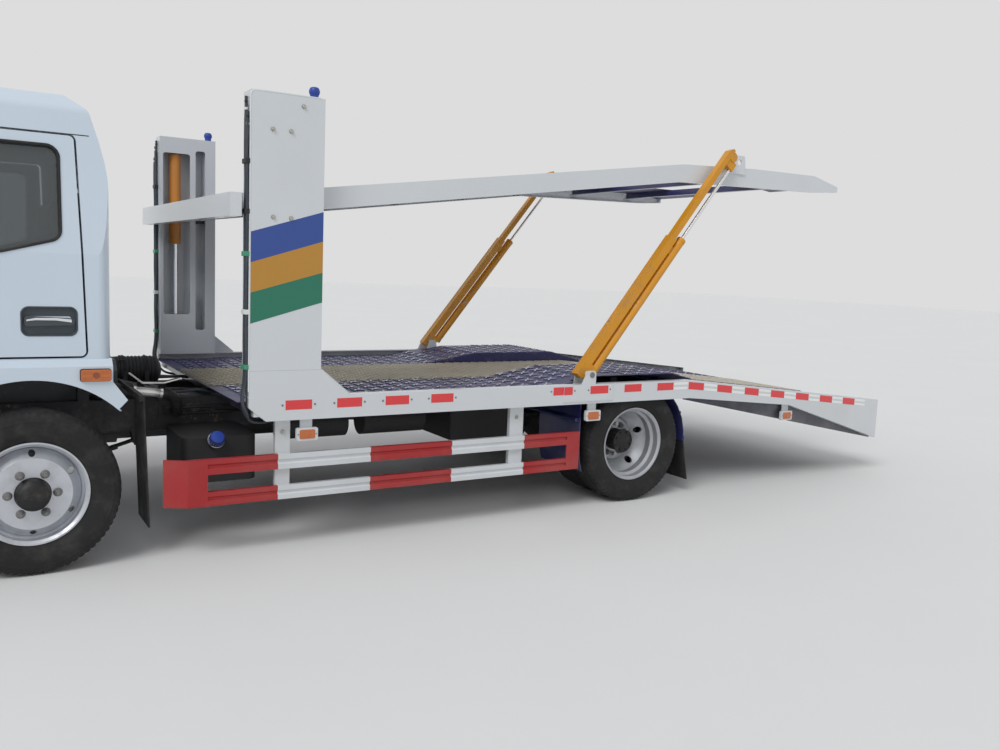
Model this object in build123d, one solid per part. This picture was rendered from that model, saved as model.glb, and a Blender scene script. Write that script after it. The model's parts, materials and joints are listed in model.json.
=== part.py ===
from build123d import *
import os
from math import atan2, cos, degrees, hypot, pi, radians, sin, sqrt

# Car carrier truck. X points forward, Y to the truck's left, Z up, in millimetres.
# The origin is on the ground, midway between bumper and tail, on the centre plane.
# Stations named *_X are measured forward from the front axle unless at() is used.

# Whole vehicle
WHEELBASE = 3800
FRONT_OVERHANG = 1050
REAR_OVERHANG = 2665
OVERALL_LENGTH = FRONT_OVERHANG + WHEELBASE + REAR_OVERHANG
FRONT_AXLE = OVERALL_LENGTH / 2 - FRONT_OVERHANG
FIT = 0.3
RUNNING = 0.05
MOVING_GAP = 10

# Wheels and tyres
TYRE_RADIUS = 413
TYRE_WIDTH = 245
RIM_LIP_RADIUS = 260
RIM_SEAT_RADIUS = 249
RIM_WIDTH = 190
RIM_WALL = 10
STUD_CIRCLE_RADIUS = 111
FRONT_RIM_FACE_Y = 1120
REAR_RIM_FACE_Y = 1165
TWIN_SPACING = 275
WHEEL_Z = TYRE_RADIUS

# Chassis frame
FRAME_TOP_Z = 760
FRAME_HEIGHT = 190
FRAME_HALF_WIDTH = 410
FRAME_FLANGE = 65
FRAME_WALL = 7
FRAME_FRONT_X = 840
FRAME_BOTTOM_Z = FRAME_TOP_Z - FRAME_HEIGHT

# Steering
KINGPIN_Y = 830
KINGPIN_RADIUS = 18
AXLE_EYE_RADIUS = 40
AXLE_EYE_HALF = 45
SPINDLE_RADIUS = 30
STEERING_ARM = 180
TIE_ROD_Z = WHEEL_Z - 118

# Lower deck
DECK_HALF_WIDTH = 1232
DECK_FLANGE = 60
DECK_WALL = 8
DECK_TOP_Z = 866
DECK_BOTTOM_Z = 734
DECK_FRONT_X = -1031
KINK_X = -WHEELBASE - 454
TAIL_X = -(WHEELBASE + REAR_OVERHANG)
TAIL_TOP_Z = 628
TAIL_BOTTOM_Z = 298
TAIL_BEND_X = -WHEELBASE - 1539
TAIL_BEND_Z = 633
FLOOR_DROP = 39
FLOOR_PLATE = 5
MESH_HALF_WIDTH = 440
TRACK_INNER_Y = 455
BEARER_HEIGHT = DECK_TOP_Z - FLOOR_DROP - FLOOR_PLATE - FRAME_TOP_Z

# Gate posts that carry the front of the upper deck
POST_REAR_X = -1435
POST_INNER_Y = DECK_HALF_WIDTH - 132
POST_TOP_Z = 2485
POST_WALL = 6
SLOT_X = -1324
SLOT_WIDTH = 72
LIFT_CYLINDER_X = -1151
LIFT_Y = (POST_INNER_Y + DECK_HALF_WIDTH) / 2
LIFT_BARREL_RADIUS = 42
LIFT_ROD_RADIUS = 22
LIFT_TRAVEL = 500

# Upper deck, drawn at its parked height
UPPER_HALF_WIDTH = POST_INNER_Y - MOVING_GAP
UPPER_FLANGE = 50
UPPER_WALL = 6
LUG_THICKNESS = 12
HINGE_Z = 1923
HINGE_RADIUS = 25
UPPER_PIN_X = -WHEELBASE - 794
UPPER_PIN_Z = 2493

# Telescopic struts that carry its rear
STRUT_FOOT_X = -WHEELBASE + 455
STRUT_FOOT_Z = 930
STRUT_Y = DECK_HALF_WIDTH - 82
STRUT_WIDTH = 64
STRUT_DEPTH = 54
STRUT_WALL = 4
STRUT_PIN_RADIUS = 20
STRUT_SLEEVE_LENGTH = 1190
BARREL_RADIUS = 32
ROD_RADIUS = 13

# Cab
CAB_HALF_WIDTH = 1060
CAB_WALL = 45
CAB_FRONT_X = 1000
CAB_REAR_X = -375
CAB_FLOOR_Z = 1030
CAB_SILL_Z = 800
ROOF_JOINT_Z = 2185
ROOF_TOP_Z = 2400
DOOR_REAR_X = -262
DOOR_FRONT_X = 735
DOOR_BOTTOM_Z = 1085
ARCH_RADIUS = 565
CAB_PIVOT_X = 930
CAB_PIVOT_Z = 700
CAB_PIVOT_RADIUS = 22
BUMPER_TOP_Z = 672
BUMPER_BOTTOM_Z = 350


def at(station):
    """X of a station measured forward from the front axle."""
    return FRONT_AXLE + station


def outline(points, radius=0):
    """A flat face from a closed run of corners, rounded where a radius is given."""
    if radius:
        return make_face(FilletPolyline(*points, radius=radius, close=True))
    return make_face(Polyline(*points, close=True))


def side_plane(y):
    """Plane whose local x is a station from the front axle and local y is height."""
    return Plane(origin=(FRONT_AXLE, y, 0), x_dir=(1, 0, 0), z_dir=(0, -1, 0))


def across(face, y_low, y_high):
    """Side-view face run across the truck from one Y to another."""
    return extrude(side_plane(y_high) * face, amount=y_high - y_low)


def along(face, x_rear, x_front):
    """Front-view face (Y, Z) run along the truck between two stations."""
    plane = Plane(origin=(at(x_rear), 0, 0), x_dir=(0, 1, 0), z_dir=(1, 0, 0))
    return extrude(plane * face, amount=x_front - x_rear)


def upward(face, z_low, z_high):
    """Plan-view face (station, Y) run upwards."""
    plane = Plane(origin=(FRONT_AXLE, 0, z_low))
    return extrude(plane * face, amount=z_high - z_low)


def block(x_rear, x_front, y_low, y_high, z_low, z_high):
    """Box between two stations, two Y and two Z."""
    size = (x_front - x_rear, y_high - y_low, z_high - z_low)
    centre = (at((x_rear + x_front) / 2), (y_low + y_high) / 2, (z_low + z_high) / 2)
    return Pos(*centre) * Box(*size)


def rod_y(x, z, radius, y_low, y_high):
    """Round bar across the truck."""
    return Pos(at(x), (y_low + y_high) / 2, z) * Rot(90, 0, 0) * Cylinder(radius, y_high - y_low)


def rod_z(x, y, radius, z_low, z_high):
    """Upright round bar."""
    return Pos(at(x), y, (z_low + z_high) / 2) * Cylinder(radius, z_high - z_low)


def rod_x(y, z, radius, x_rear, x_front):
    """Round bar along the truck."""
    return Pos(at((x_rear + x_front) / 2), y, z) * Rot(0, 90, 0) * Cylinder(radius, x_front - x_rear)


def other_side(shape):
    """The same piece on the truck's right."""
    return mirror(shape, about=Plane.XZ)


def fuse(shapes):
    """One body from a list of pieces."""
    whole = shapes[0]
    for shape in shapes[1:]:
        whole = whole + shape
    return whole


def both_sides(shape):
    """Left piece and its mirror image."""
    return [shape, other_side(shape)]


def channel(points, y_web, flange, wall):
    """Channel whose web is at y_web and whose flanges reach inboard."""
    face = outline(points)
    solid = across(face, y_web - flange, y_web)
    pocket = across(offset(face, amount=-wall, kind=Kind.INTERSECTION), y_web - flange, y_web - wall)
    return solid - pocket


def write(node, shapes):
    """Write one sub-part; its solids may be several that do not touch."""
    solids = []
    for shape in shapes:
        solids.extend(shape.solids())
    export_step(Compound(children=solids), "parts/" + node + ".step")


def kink_line(x, above=0):
    """Height of the lower deck's rail top at a station, and a step above it."""
    if x > KINK_X:
        return DECK_TOP_Z + above
    slope = (DECK_TOP_Z - TAIL_TOP_Z) / (KINK_X - TAIL_X)
    return DECK_TOP_Z - slope * (KINK_X - x) + above


def spring_pack(x, y, seat_z, half_length, eye_z, leaves, width=60, leaf=10):
    """Leaf spring: leaves of one curvature, each shorter than the one above it."""
    rise = eye_z - (seat_z + leaves * leaf)
    curve = (half_length ** 2 + rise ** 2) / (2 * rise)
    centre_z = seat_z + leaves * leaf + curve
    pieces = []
    for number in range(leaves):
        reach = half_length * (1 - 0.17 * number)
        top = curve + number * leaf
        low = top + leaf
        arcs = []
        for radius in (top, low):
            drop = centre_z - sqrt(radius ** 2 - reach ** 2)
            arcs.append(((x - reach, drop), (x, centre_z - radius), (x + reach, drop)))
        upper = ThreePointArc(*arcs[0])
        lower = ThreePointArc(*arcs[1])
        ends = [Line(arcs[0][0], arcs[1][0]), Line(arcs[0][2], arcs[1][2])]
        pieces.append(across(make_face([upper, lower] + ends), y - width / 2, y + width / 2))
    for side in (-1, 1):
        pieces.append(rod_y(x + side * (half_length + 12), eye_z - 5, 22, y - width / 2, y + width / 2))
    pieces.append(block(x - 60, x + 60, y - width / 2, y + width / 2, seat_z - 2, seat_z + leaves * leaf + 12))
    spring = fuse(pieces)
    for side in (-1, 1):
        spring = spring - rod_y(x + side * (half_length + 12), eye_z - 5, SPRING_PIN_RADIUS + RUNNING, y - width, y + width)
    return spring


def hanger(x, y, eye_z):
    """Frame bracket whose two cheeks hold a spring eye."""
    cheeks = []
    for side in (-1, 1):
        middle = y + side * 38
        plate = outline([(x - 45, FRAME_BOTTOM_Z + 20), (x + 45, FRAME_BOTTOM_Z + 20),
                         (x + 26, eye_z - 30), (x - 26, eye_z - 30)], 8)
        cheeks.append(across(plate, middle - 4, middle + 4))
    cheeks.append(block(x - 45, x + 45, y - 42, y + 42, FRAME_BOTTOM_Z - 4, FRAME_BOTTOM_Z + 4))
    return fuse(cheeks)


SPRING_Y = 375
SPRING_PIN_RADIUS = 12
FRONT_SPRING_SEAT_Z = 378
FRONT_SPRING_HALF = 600
FRONT_EYE_Z = 520
REAR_SPRING_SEAT_Z = 478
REAR_SPRING_HALF = 620
REAR_EYE_Z = 548


def chassis_frame():
    """Ladder frame: two channel rails, cross-members, spring hangers, cab supports."""
    tail_x = TAIL_BEND_X + 240
    rail = [(FRAME_FRONT_X, FRAME_BOTTOM_Z), (FRAME_FRONT_X, FRAME_TOP_Z),
            (KINK_X, FRAME_TOP_Z), (tail_x, kink_line(tail_x) - DECK_TOP_Z + FRAME_TOP_Z),
            (tail_x, 590), (KINK_X, FRAME_BOTTOM_Z)]
    left = [channel(rail, FRAME_HALF_WIDTH, FRAME_FLANGE, FRAME_WALL)]
    hanger_stations = [(FRONT_SPRING_HALF + 12, FRONT_EYE_Z - 5), (-FRONT_SPRING_HALF - 12, FRONT_EYE_Z - 5),
                       (-WHEELBASE + REAR_SPRING_HALF + 12, REAR_EYE_Z - 5),
                       (-WHEELBASE - REAR_SPRING_HALF - 12, REAR_EYE_Z - 5)]
    for x, z in hanger_stations:
        left.append(hanger(x, SPRING_Y, z))
        left.append(rod_y(x, z, SPRING_PIN_RADIUS, SPRING_Y - 42, SPRING_Y + 42))
    horn = outline([(760, FRAME_TOP_Z), (CAB_PIVOT_X, CAB_PIVOT_Z + 32), (CAB_PIVOT_X + 32, CAB_PIVOT_Z),
                    (CAB_PIVOT_X, CAB_PIVOT_Z - 32), (760, FRAME_BOTTOM_Z)], 12)
    left.append(across(horn, FRAME_HALF_WIDTH - 12, FRAME_HALF_WIDTH))
    left.append(block(-345, -285, FRAME_HALF_WIDTH - FRAME_FLANGE, FRAME_HALF_WIDTH, FRAME_TOP_Z, CAB_FLOOR_Z - FIT))
    pieces = []
    for shape in left:
        pieces += both_sides(shape)
    inner = FRAME_HALF_WIDTH - FRAME_WALL
    for x in (790, -1380, -2050, -WHEELBASE + 1050, -WHEELBASE + 670, -WHEELBASE - 740, tail_x + 40):
        pieces.append(block(x - 30, x + 30, -inner, inner, FRAME_TOP_Z - 110, FRAME_TOP_Z - 45))
    pieces.append(rod_y(CAB_PIVOT_X, CAB_PIVOT_Z, CAB_PIVOT_RADIUS, -FRAME_HALF_WIDTH, FRAME_HALF_WIDTH))
    return fuse(pieces)


def front_axle():
    """Dropped I-beam with king-pin eyes, and the two front springs seated on it."""
    drop_z = 330
    half = 38
    band = [(-KINGPIN_Y, WHEEL_Z + half), (-KINGPIN_Y, WHEEL_Z - half), (-560, drop_z - half),
            (560, drop_z - half), (KINGPIN_Y, WHEEL_Z - half), (KINGPIN_Y, WHEEL_Z + half),
            (590, drop_z + half), (-590, drop_z + half)]
    face = outline(band)
    beam = along(face, -34, 34)
    hollow = offset(face, amount=-14, kind=Kind.INTERSECTION)
    beam = beam - along(hollow, 9, 40) - along(hollow, -40, -9)
    for side in (-1, 1):
        y = side * KINGPIN_Y
        beam = beam + rod_z(0, y, AXLE_EYE_RADIUS, WHEEL_Z - AXLE_EYE_HALF, WHEEL_Z + AXLE_EYE_HALF)
        beam = beam - rod_z(0, y, KINGPIN_RADIUS + RUNNING, WHEEL_Z - 100, WHEEL_Z + 100)
        beam = beam + block(-60, 60, side * SPRING_Y - 32, side * SPRING_Y + 32, drop_z + half - 5, FRONT_SPRING_SEAT_Z - 2)
    spring = spring_pack(0, SPRING_Y, FRONT_SPRING_SEAT_Z, FRONT_SPRING_HALF, FRONT_EYE_Z, 4)
    return [beam, spring, other_side(spring)]


def rear_axle():
    """Banjo housing with tubes out to the hubs, and the two rear springs."""
    x = -WHEELBASE
    tube = rod_y(x, WHEEL_Z, 58, -REAR_MOUNT_Y + 190, REAR_MOUNT_Y - 190)
    bowl = Pos(at(x), 0, WHEEL_Z) * Sphere(178)
    bowl = bowl & block(x - 150, x + 190, -150, 150, WHEEL_Z - 178, WHEEL_Z + 178)
    nose = rod_x(0, WHEEL_Z + 10, 70, x, x + 290)
    spindle = rod_y(x, WHEEL_Z, 38, -REAR_MOUNT_Y - 60, REAR_MOUNT_Y + 60)
    seat = block(x - 60, x + 60, SPRING_Y - 32, SPRING_Y + 32, WHEEL_Z + 40, REAR_SPRING_SEAT_Z - 2)
    housing = fuse([tube, bowl, nose, spindle, seat, other_side(seat)])
    spring = spring_pack(x, SPRING_Y, REAR_SPRING_SEAT_Z, REAR_SPRING_HALF, REAR_EYE_Z, 5)
    return [housing, spring, other_side(spring)]


REAR_WHEEL_Y = REAR_RIM_FACE_Y - RIM_WIDTH / 2
REAR_MOUNT_Y = REAR_WHEEL_Y - TWIN_SPACING / 2
FRONT_WHEEL_Y = FRONT_RIM_FACE_Y - RIM_WIDTH / 2


def drivetrain():
    """Engine block with gearbox, fan cowl, and the propeller shaft."""
    engine = block(-520, 380, -270, 270, 470, 975)
    engine = chamfer(engine.edges().filter_by(Axis.X), 60)
    sump = block(-300, 60, -180, 180, 425, 480)
    box = outline([(-1250, 520), (-1250, 690), (-900, 740), (-510, 850), (-510, 480), (-900, 480)])
    gearbox = across(box, -150, 150)
    radiator = block(440, 500, -300, 300, 590, 985)
    cowl = rod_x(0, 760, 200, 370, 445)
    shaft_length = WHEELBASE - 1560
    fall = (600 - (WHEEL_Z + 10)) / (WHEELBASE - 1530)
    shaft = Plane(origin=(at(-1240), 0, 600), z_dir=(-1, 0, -fall))
    shaft = shaft * Pos(0, 0, shaft_length / 2) * Cylinder(45, shaft_length)
    unit = fuse([engine, sump, gearbox, radiator, cowl, shaft])
    for side in (-1, 1):
        low, high = sorted((side * 265, side * (FRAME_HALF_WIDTH - FRAME_WALL)))
        unit = unit + block(-150, -60, low, high, 640, 680)
    return [unit]


def side_tanks():
    """Fuel tank on the right; fluid tank, air tanks and battery box on the left."""
    fuel = block(-2050, -1250, -900, -FRAME_HALF_WIDTH, 330, 720)
    fuel = fillet(fuel.edges().filter_by(Axis.X), 70)
    fluid = block(-1180, -760, FRAME_HALF_WIDTH, 900, 340, 600)
    fluid = fillet(fluid.edges().filter_by(Axis.Z), 60)
    neck = Plane(origin=(at(-935), 895, 560), z_dir=(0, 0.8, 0.6)) * Pos(0, 0, 10) * Cylinder(34, 90)
    cap = Plane(origin=(at(-935), 895, 560), z_dir=(0, 0.8, 0.6)) * Pos(0, 0, 68) * Cylinder(40, 30)
    air = []
    for x in (-2150, -1600):
        tank = rod_x(620, 600, 95, x - 220, x + 220)
        air.append(fuse([tank, block(x - 20, x + 20, FRAME_HALF_WIDTH, 640, 585, 615)]))
    battery = block(-2950, -2480, FRAME_HALF_WIDTH, 860, 470, 720)
    battery = fillet(battery.edges().filter_by(Axis.Z), 25)
    return [fuel, fluid + neck + cap, battery] + air


def pipe_run(points, bend, radius):
    """Round pipe along straight runs joined by bends."""
    path = FilletPolyline(*[(at(x), y, z) for x, y, z in points], radius=bend)
    section = Plane(origin=path @ 0, z_dir=path % 0) * Circle(radius)
    return sweep(section, path=path)


SILENCER = {"y": -620, "z": 520, "radius": 110, "front": -2250, "rear": -2900}


def exhaust():
    """Silencer outside the right rail, with its inlet and outlet pipes."""
    y, z = SILENCER["y"], SILENCER["z"]
    front, rear = SILENCER["front"], SILENCER["rear"]
    body = rod_x(y, z, SILENCER["radius"], rear, front)
    body = fillet(body.edges().filter_by(GeomType.CIRCLE), 20)
    inlet = pipe_run([(front - 20, y, z), (-2150, y, z), (-2150, -240, z), (-540, -240, z)], 80, 28)
    outlet = pipe_run([(rear + 20, y, z), (-3110, y, z), (-3110, -1010, z)], 90, 30)
    bore = rod_y(-3110, z, 27, -1011, -950)
    strap = block(-2600, -2560, y, -FRAME_HALF_WIDTH, z + 60, z + 90)
    return [fuse([body, inlet, outlet, strap]) - bore]


def side_rail_points():
    """Outline of a lower-deck side rail, chamfered in front and deepened at the tail."""
    return [(DECK_FRONT_X, DECK_TOP_Z), (DECK_FRONT_X, 812), (DECK_FRONT_X - 95, DECK_BOTTOM_Z),
            (KINK_X, DECK_BOTTOM_Z), (TAIL_BEND_X, TAIL_BEND_Z), (TAIL_X, TAIL_BOTTOM_Z),
            (TAIL_X, TAIL_TOP_Z), (KINK_X, DECK_TOP_Z)]


RAMP_LENGTH = 1350
RAMP_WIDTH = 380
RAMP_THICK = 46
RAMP_Y = 700
RAMP_TRAVEL = 1000
TAIL_SLOPE = degrees(atan2(DECK_TOP_Z - TAIL_TOP_Z, KINK_X - TAIL_X))
RAMP_DROP = FLOOR_DROP + FLOOR_PLATE + BEARER_HEIGHT + 12


def tail_plane(drop, y=0):
    """Plane on the tail slope: local x runs up the slope from the tail, local z is its normal."""
    slope = radians(TAIL_SLOPE)
    return Plane(origin=(at(TAIL_X), y, TAIL_TOP_Z - drop), x_dir=(cos(slope), 0, sin(slope)),
                 z_dir=(-sin(slope), 0, cos(slope)))


def tail_block(start, end, y_low, y_high, drop_low, drop_high):
    """Box on the tail slope; drops are measured down from the rail top."""
    centre = ((start + end) / 2, (y_low + y_high) / 2, -(drop_low + drop_high) / 2)
    return tail_plane(0) * Pos(*centre) * Box(end - start, y_high - y_low, drop_low - drop_high)


def bearer(x, half, width, drop_top, drop_bottom, line):
    """Cross-member whose top and bottom follow the deck's slope at a station."""
    face = outline([(x - half, line(x - half) - drop_bottom), (x + half, line(x + half) - drop_bottom),
                    (x + half, line(x + half) - drop_top), (x - half, line(x - half) - drop_top)])
    return across(face, -width, width)


BEARER_STATIONS = (-1090, -1480, -WHEELBASE + 1810, -WHEELBASE + 1300, -WHEELBASE + 790, -WHEELBASE + 530,
                   -WHEELBASE - 422, -WHEELBASE - 900, -WHEELBASE - 1450, -WHEELBASE - 2000, -WHEELBASE - 2550)


def lower_deck_frame():
    """Side rails, cross-bearers, sloping tail frame, ramp trays and strut feet."""
    rail = channel(side_rail_points(), DECK_HALF_WIDTH, DECK_FLANGE, DECK_WALL)
    wheel_gap = block(-WHEELBASE - 330, -WHEELBASE + 330, DECK_HALF_WIDTH - DECK_FLANGE - 1,
                      DECK_HALF_WIDTH - DECK_WALL, DECK_BOTTOM_Z - 1, DECK_TOP_Z - 20)
    rail = rail - wheel_gap
    inner_y = DECK_HALF_WIDTH - DECK_FLANGE
    bearer_top = DECK_TOP_Z - FLOOR_DROP - FLOOR_PLATE
    left = [rail]
    # Foot of the strut: doubler on the rail, ear plates and pin
    ear = [(STRUT_FOOT_X - 185, 752), (STRUT_FOOT_X - 185, DECK_TOP_Z), (STRUT_FOOT_X - 34, DECK_TOP_Z),
           (STRUT_FOOT_X - 34, STRUT_FOOT_Z + 12), (STRUT_FOOT_X - 20, STRUT_FOOT_Z + 28),
           (STRUT_FOOT_X + 32, STRUT_FOOT_Z + 28), (STRUT_FOOT_X + 78, DECK_TOP_Z),
           (STRUT_FOOT_X + 225, DECK_TOP_Z), (STRUT_FOOT_X + 225, 752)]
    left.append(across(outline(ear), DECK_HALF_WIDTH - DECK_WALL, DECK_HALF_WIDTH + 6))
    inner_ear = [(STRUT_FOOT_X - 70, bearer_top - 40), (STRUT_FOOT_X - 30, STRUT_FOOT_Z + 28),
                 (STRUT_FOOT_X + 30, STRUT_FOOT_Z + 28), (STRUT_FOOT_X + 70, bearer_top - 40)]
    ear_y = STRUT_Y - BARREL_RADIUS - MOVING_GAP
    left.append(across(outline(inner_ear), ear_y - 12, ear_y))
    left.append(rod_y(STRUT_FOOT_X, STRUT_FOOT_Z, STRUT_PIN_RADIUS, ear_y - 12, DECK_HALF_WIDTH + 6))
    # Inner side plate of the tail, deeper than the rail's bottom edge
    tail_side = [(KINK_X, 715), (TAIL_X, TAIL_BOTTOM_Z - 8), (TAIL_X, TAIL_TOP_Z - FLOOR_DROP - FLOOR_PLATE),
                 (KINK_X, bearer_top)]
    left.append(across(outline(tail_side), inner_y - 12, inner_y))
    # Tray that a ramp slides in
    tray_half = RAMP_WIDTH / 2 + 6
    tray_floor = RAMP_DROP + RAMP_THICK + FIT
    left.append(tail_block(0, RAMP_LENGTH + 40, RAMP_Y - tray_half - 5, RAMP_Y + tray_half + 5,
                           tray_floor + 5, tray_floor))
    for side in (-1, 1):
        edge = RAMP_Y + side * (tray_half + 2.5)
        left.append(tail_block(0, RAMP_LENGTH + 40, edge - 2.5, edge + 2.5, tray_floor, RAMP_DROP - 14))
    pieces = []
    for shape in left:
        pieces += both_sides(shape)
    top = FLOOR_DROP + FLOOR_PLATE
    for x in BEARER_STATIONS:
        pieces.append(bearer(x, 30, DECK_HALF_WIDTH - DECK_WALL + 1, top, top + BEARER_HEIGHT, kink_line))
    for x in (-WHEELBASE + 240, -WHEELBASE - 200):
        pieces.append(bearer(x, 30, 665, top, top + BEARER_HEIGHT, kink_line))
    return fuse(pieces)


HUMP_RISE = 78
HUMP_START_X = -WHEELBASE + 850
HUMP_TOP_X = (-WHEELBASE + 380, -WHEELBASE - 380)
HUMP_END_X = -WHEELBASE - 840


def track_top(x):
    """Height of the wheel track's upper face, with the hump over the rear wheels."""
    return kink_line(x, -FLOOR_DROP)


def lower_tracks():
    """The two wheel tracks: plates that rise over the rear wheels and follow the tail."""
    start = DECK_FRONT_X + 25
    top = [(start, track_top(start)), (HUMP_START_X, track_top(HUMP_START_X)),
           (HUMP_TOP_X[0], DECK_TOP_Z - FLOOR_DROP + HUMP_RISE), (HUMP_TOP_X[1], DECK_TOP_Z - FLOOR_DROP + HUMP_RISE),
           (HUMP_END_X, track_top(HUMP_END_X)), (TAIL_X + 4, track_top(TAIL_X + 4))]
    lower = [(x, z - FLOOR_PLATE) for x, z in reversed(top)]
    strip = outline(top + lower)
    inner_y = DECK_HALF_WIDTH - DECK_FLANGE
    plate = across(strip, TRACK_INNER_Y, inner_y - 14)
    pocket = block(POST_REAR_X - 4, DECK_FRONT_X + 30, POST_INNER_Y - 4, 1300, 700, 900)
    ear_slot = block(STRUT_FOOT_X - 80, STRUT_FOOT_X + 80, STRUT_Y - 56, 1300, 700, 1000)
    strut_slot = block(STRUT_FOOT_X - 1300, STRUT_FOOT_X + 90, STRUT_Y - BARREL_RADIUS - MOVING_GAP, 1300, 700, 1000)
    plate = plate - pocket - ear_slot - strut_slot
    # Cheek that closes the hump towards the middle of the deck
    cheek_top = top[1:5]
    cheek = [(HUMP_START_X, track_top(HUMP_START_X) - FLOOR_PLATE)]
    cheek += [(x, z - FLOOR_PLATE) for x, z in cheek_top[1:3]]
    cheek += [(HUMP_END_X, track_top(HUMP_END_X) - FLOOR_PLATE), (KINK_X, DECK_TOP_Z - FLOOR_DROP - FLOOR_PLATE)]
    plate = plate + across(outline(cheek), TRACK_INNER_Y, TRACK_INNER_Y + 5)
    return both_sides(plate)


def lower_mesh():
    """Centre strip between the tracks, level and then sloping."""
    start = DECK_FRONT_X + 25
    top = [(start, track_top(start)), (KINK_X, track_top(KINK_X)), (TAIL_X + 4, track_top(TAIL_X + 4))]
    lower = [(x, z - FLOOR_PLATE) for x, z in reversed(top)]
    return across(outline(top + lower), -MESH_HALF_WIDTH, MESH_HALF_WIDTH)


def gate_post():
    """Hollow post: window for the lift cylinder, slot for the carriage, flared foot."""
    outer = block(POST_REAR_X, DECK_FRONT_X, POST_INNER_Y, DECK_HALF_WIDTH, DECK_TOP_Z, POST_TOP_Z)
    cavity = block(POST_REAR_X + POST_WALL, DECK_FRONT_X - POST_WALL, POST_INNER_Y + POST_WALL,
                   DECK_HALF_WIDTH - POST_WALL, DECK_TOP_Z + POST_WALL, POST_TOP_Z - POST_WALL)
    post = outer - cavity
    window = outline([(-1248, 1170), (-1248, 2370), (-1054, 2370), (-1054, 1170)], 20)
    post = post - across(window, POST_INNER_Y - 1, POST_INNER_Y + POST_WALL + 1)
    slot = outline([(SLOT_X - SLOT_WIDTH / 2, 1050), (SLOT_X - SLOT_WIDTH / 2, 2400),
                    (SLOT_X + SLOT_WIDTH / 2, 2400), (SLOT_X + SLOT_WIDTH / 2, 1050)], 20)
    post = post - across(slot, POST_INNER_Y - 1, POST_INNER_Y + POST_WALL + 1)
    for side in (-1, 1):
        x = SLOT_X + side * (SLOT_WIDTH / 2 + 3)
        post = post + block(x - 3, x + 3, POST_INNER_Y + 3, DECK_HALF_WIDTH - 3, DECK_TOP_Z + 3, POST_TOP_Z - 3)
    tie_way = block(SLOT_X + 30, SLOT_X + 60, POST_INNER_Y + POST_WALL, DECK_HALF_WIDTH - POST_WALL,
                    HINGE_Z - LIFT_TRAVEL - 60, HINGE_Z + 60)
    post = post - tie_way
    flare = [(POST_REAR_X, 1016), (-1612, DECK_TOP_Z), (POST_REAR_X, DECK_TOP_Z)]
    post = post + across(outline(flare), DECK_HALF_WIDTH - DECK_WALL, DECK_HALF_WIDTH)
    foot = [(DECK_FRONT_X, DECK_TOP_Z), (DECK_FRONT_X, 1016), (POST_REAR_X, 1016), (POST_REAR_X, DECK_TOP_Z)]
    post = post + across(outline(foot), DECK_HALF_WIDTH - POST_WALL, DECK_HALF_WIDTH)
    breather = rod_z(POST_REAR_X + 40, LIFT_Y, 22, POST_TOP_Z - 3, POST_TOP_Z + 62)
    return post + breather


LIFT_BARREL_LOW_Z = 1700
LIFT_BARREL_HIGH_Z = 2365
LIFT_ROD_TOP_Z = 1780


def lift_rod():
    """Fixed rod that stands in a gate post."""
    rod = rod_z(LIFT_CYLINDER_X, LIFT_Y, LIFT_ROD_RADIUS, DECK_TOP_Z + POST_WALL, LIFT_ROD_TOP_Z)
    foot = rod_z(LIFT_CYLINDER_X, LIFT_Y, 48, DECK_TOP_Z + POST_WALL, DECK_TOP_Z + POST_WALL + 40)
    return rod + foot


def lift_barrel():
    """Barrel that climbs the rod and carries one end of the carriage."""
    barrel = rod_z(LIFT_CYLINDER_X, LIFT_Y, LIFT_BARREL_RADIUS, LIFT_BARREL_LOW_Z, LIFT_BARREL_HIGH_Z)
    bore = rod_z(LIFT_CYLINDER_X, LIFT_Y, LIFT_ROD_RADIUS + 8, LIFT_BARREL_LOW_Z + 40, LIFT_BARREL_HIGH_Z - 15)
    gland = rod_z(LIFT_CYLINDER_X, LIFT_Y, LIFT_ROD_RADIUS + RUNNING, LIFT_BARREL_LOW_Z - 1, LIFT_BARREL_LOW_Z + 41)
    return barrel - bore - gland


def lift_carriage():
    """Cross-shaft with slide blocks in the posts, tied to the two lift barrels."""
    inside = DECK_HALF_WIDTH - POST_WALL - 8
    shaft = rod_y(SLOT_X, HINGE_Z, HINGE_RADIUS, -inside, inside)
    pieces = [shaft]
    block_half = SLOT_WIDTH / 2 - 5
    for side in (-1, 1):
        low, high = sorted((side * (POST_INNER_Y + POST_WALL + 6), side * inside))
        pieces.append(block(SLOT_X - block_half, SLOT_X + block_half, low, high, HINGE_Z - 60, HINGE_Z + 60))
        low, high = sorted((side * (LIFT_Y - 12), side * (LIFT_Y + 8)))
        arm = block(SLOT_X + 20, LIFT_CYLINDER_X - 20, low, high, HINGE_Z - 40, HINGE_Z + 40)
        seat = rod_z(LIFT_CYLINDER_X, side * LIFT_Y, LIFT_BARREL_RADIUS + FIT, HINGE_Z - 90, HINGE_Z + 90)
        pieces.append(arm - seat)
    return fuse(pieces)


UPPER_TOP = [(-950, 1951), (-WHEELBASE - 390, 2412), (-WHEELBASE - 1100, 2444), (-WHEELBASE - 1790, 2452),
             (-WHEELBASE - 2080, 2387)]
UPPER_BOTTOM = [(-WHEELBASE - 2080, 2345), (-WHEELBASE - 1800, 2325), (-WHEELBASE - 390, 2288), (-950, 1831)]
UPPER_BEARERS = (-1620, -2260, -2900, -WHEELBASE + 260, -WHEELBASE - 330, -WHEELBASE - 980, -WHEELBASE - 1640)
UPPER_FLOOR_DROP = 40


def upper_top_z(x):
    """Height of the upper deck's rail top at a station."""
    for (x0, z0), (x1, z1) in zip(UPPER_TOP, UPPER_TOP[1:]):
        if x1 <= x <= x0:
            return z0 + (z1 - z0) * (x - x0) / (x1 - x0)
    return UPPER_TOP[0][1]


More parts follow.
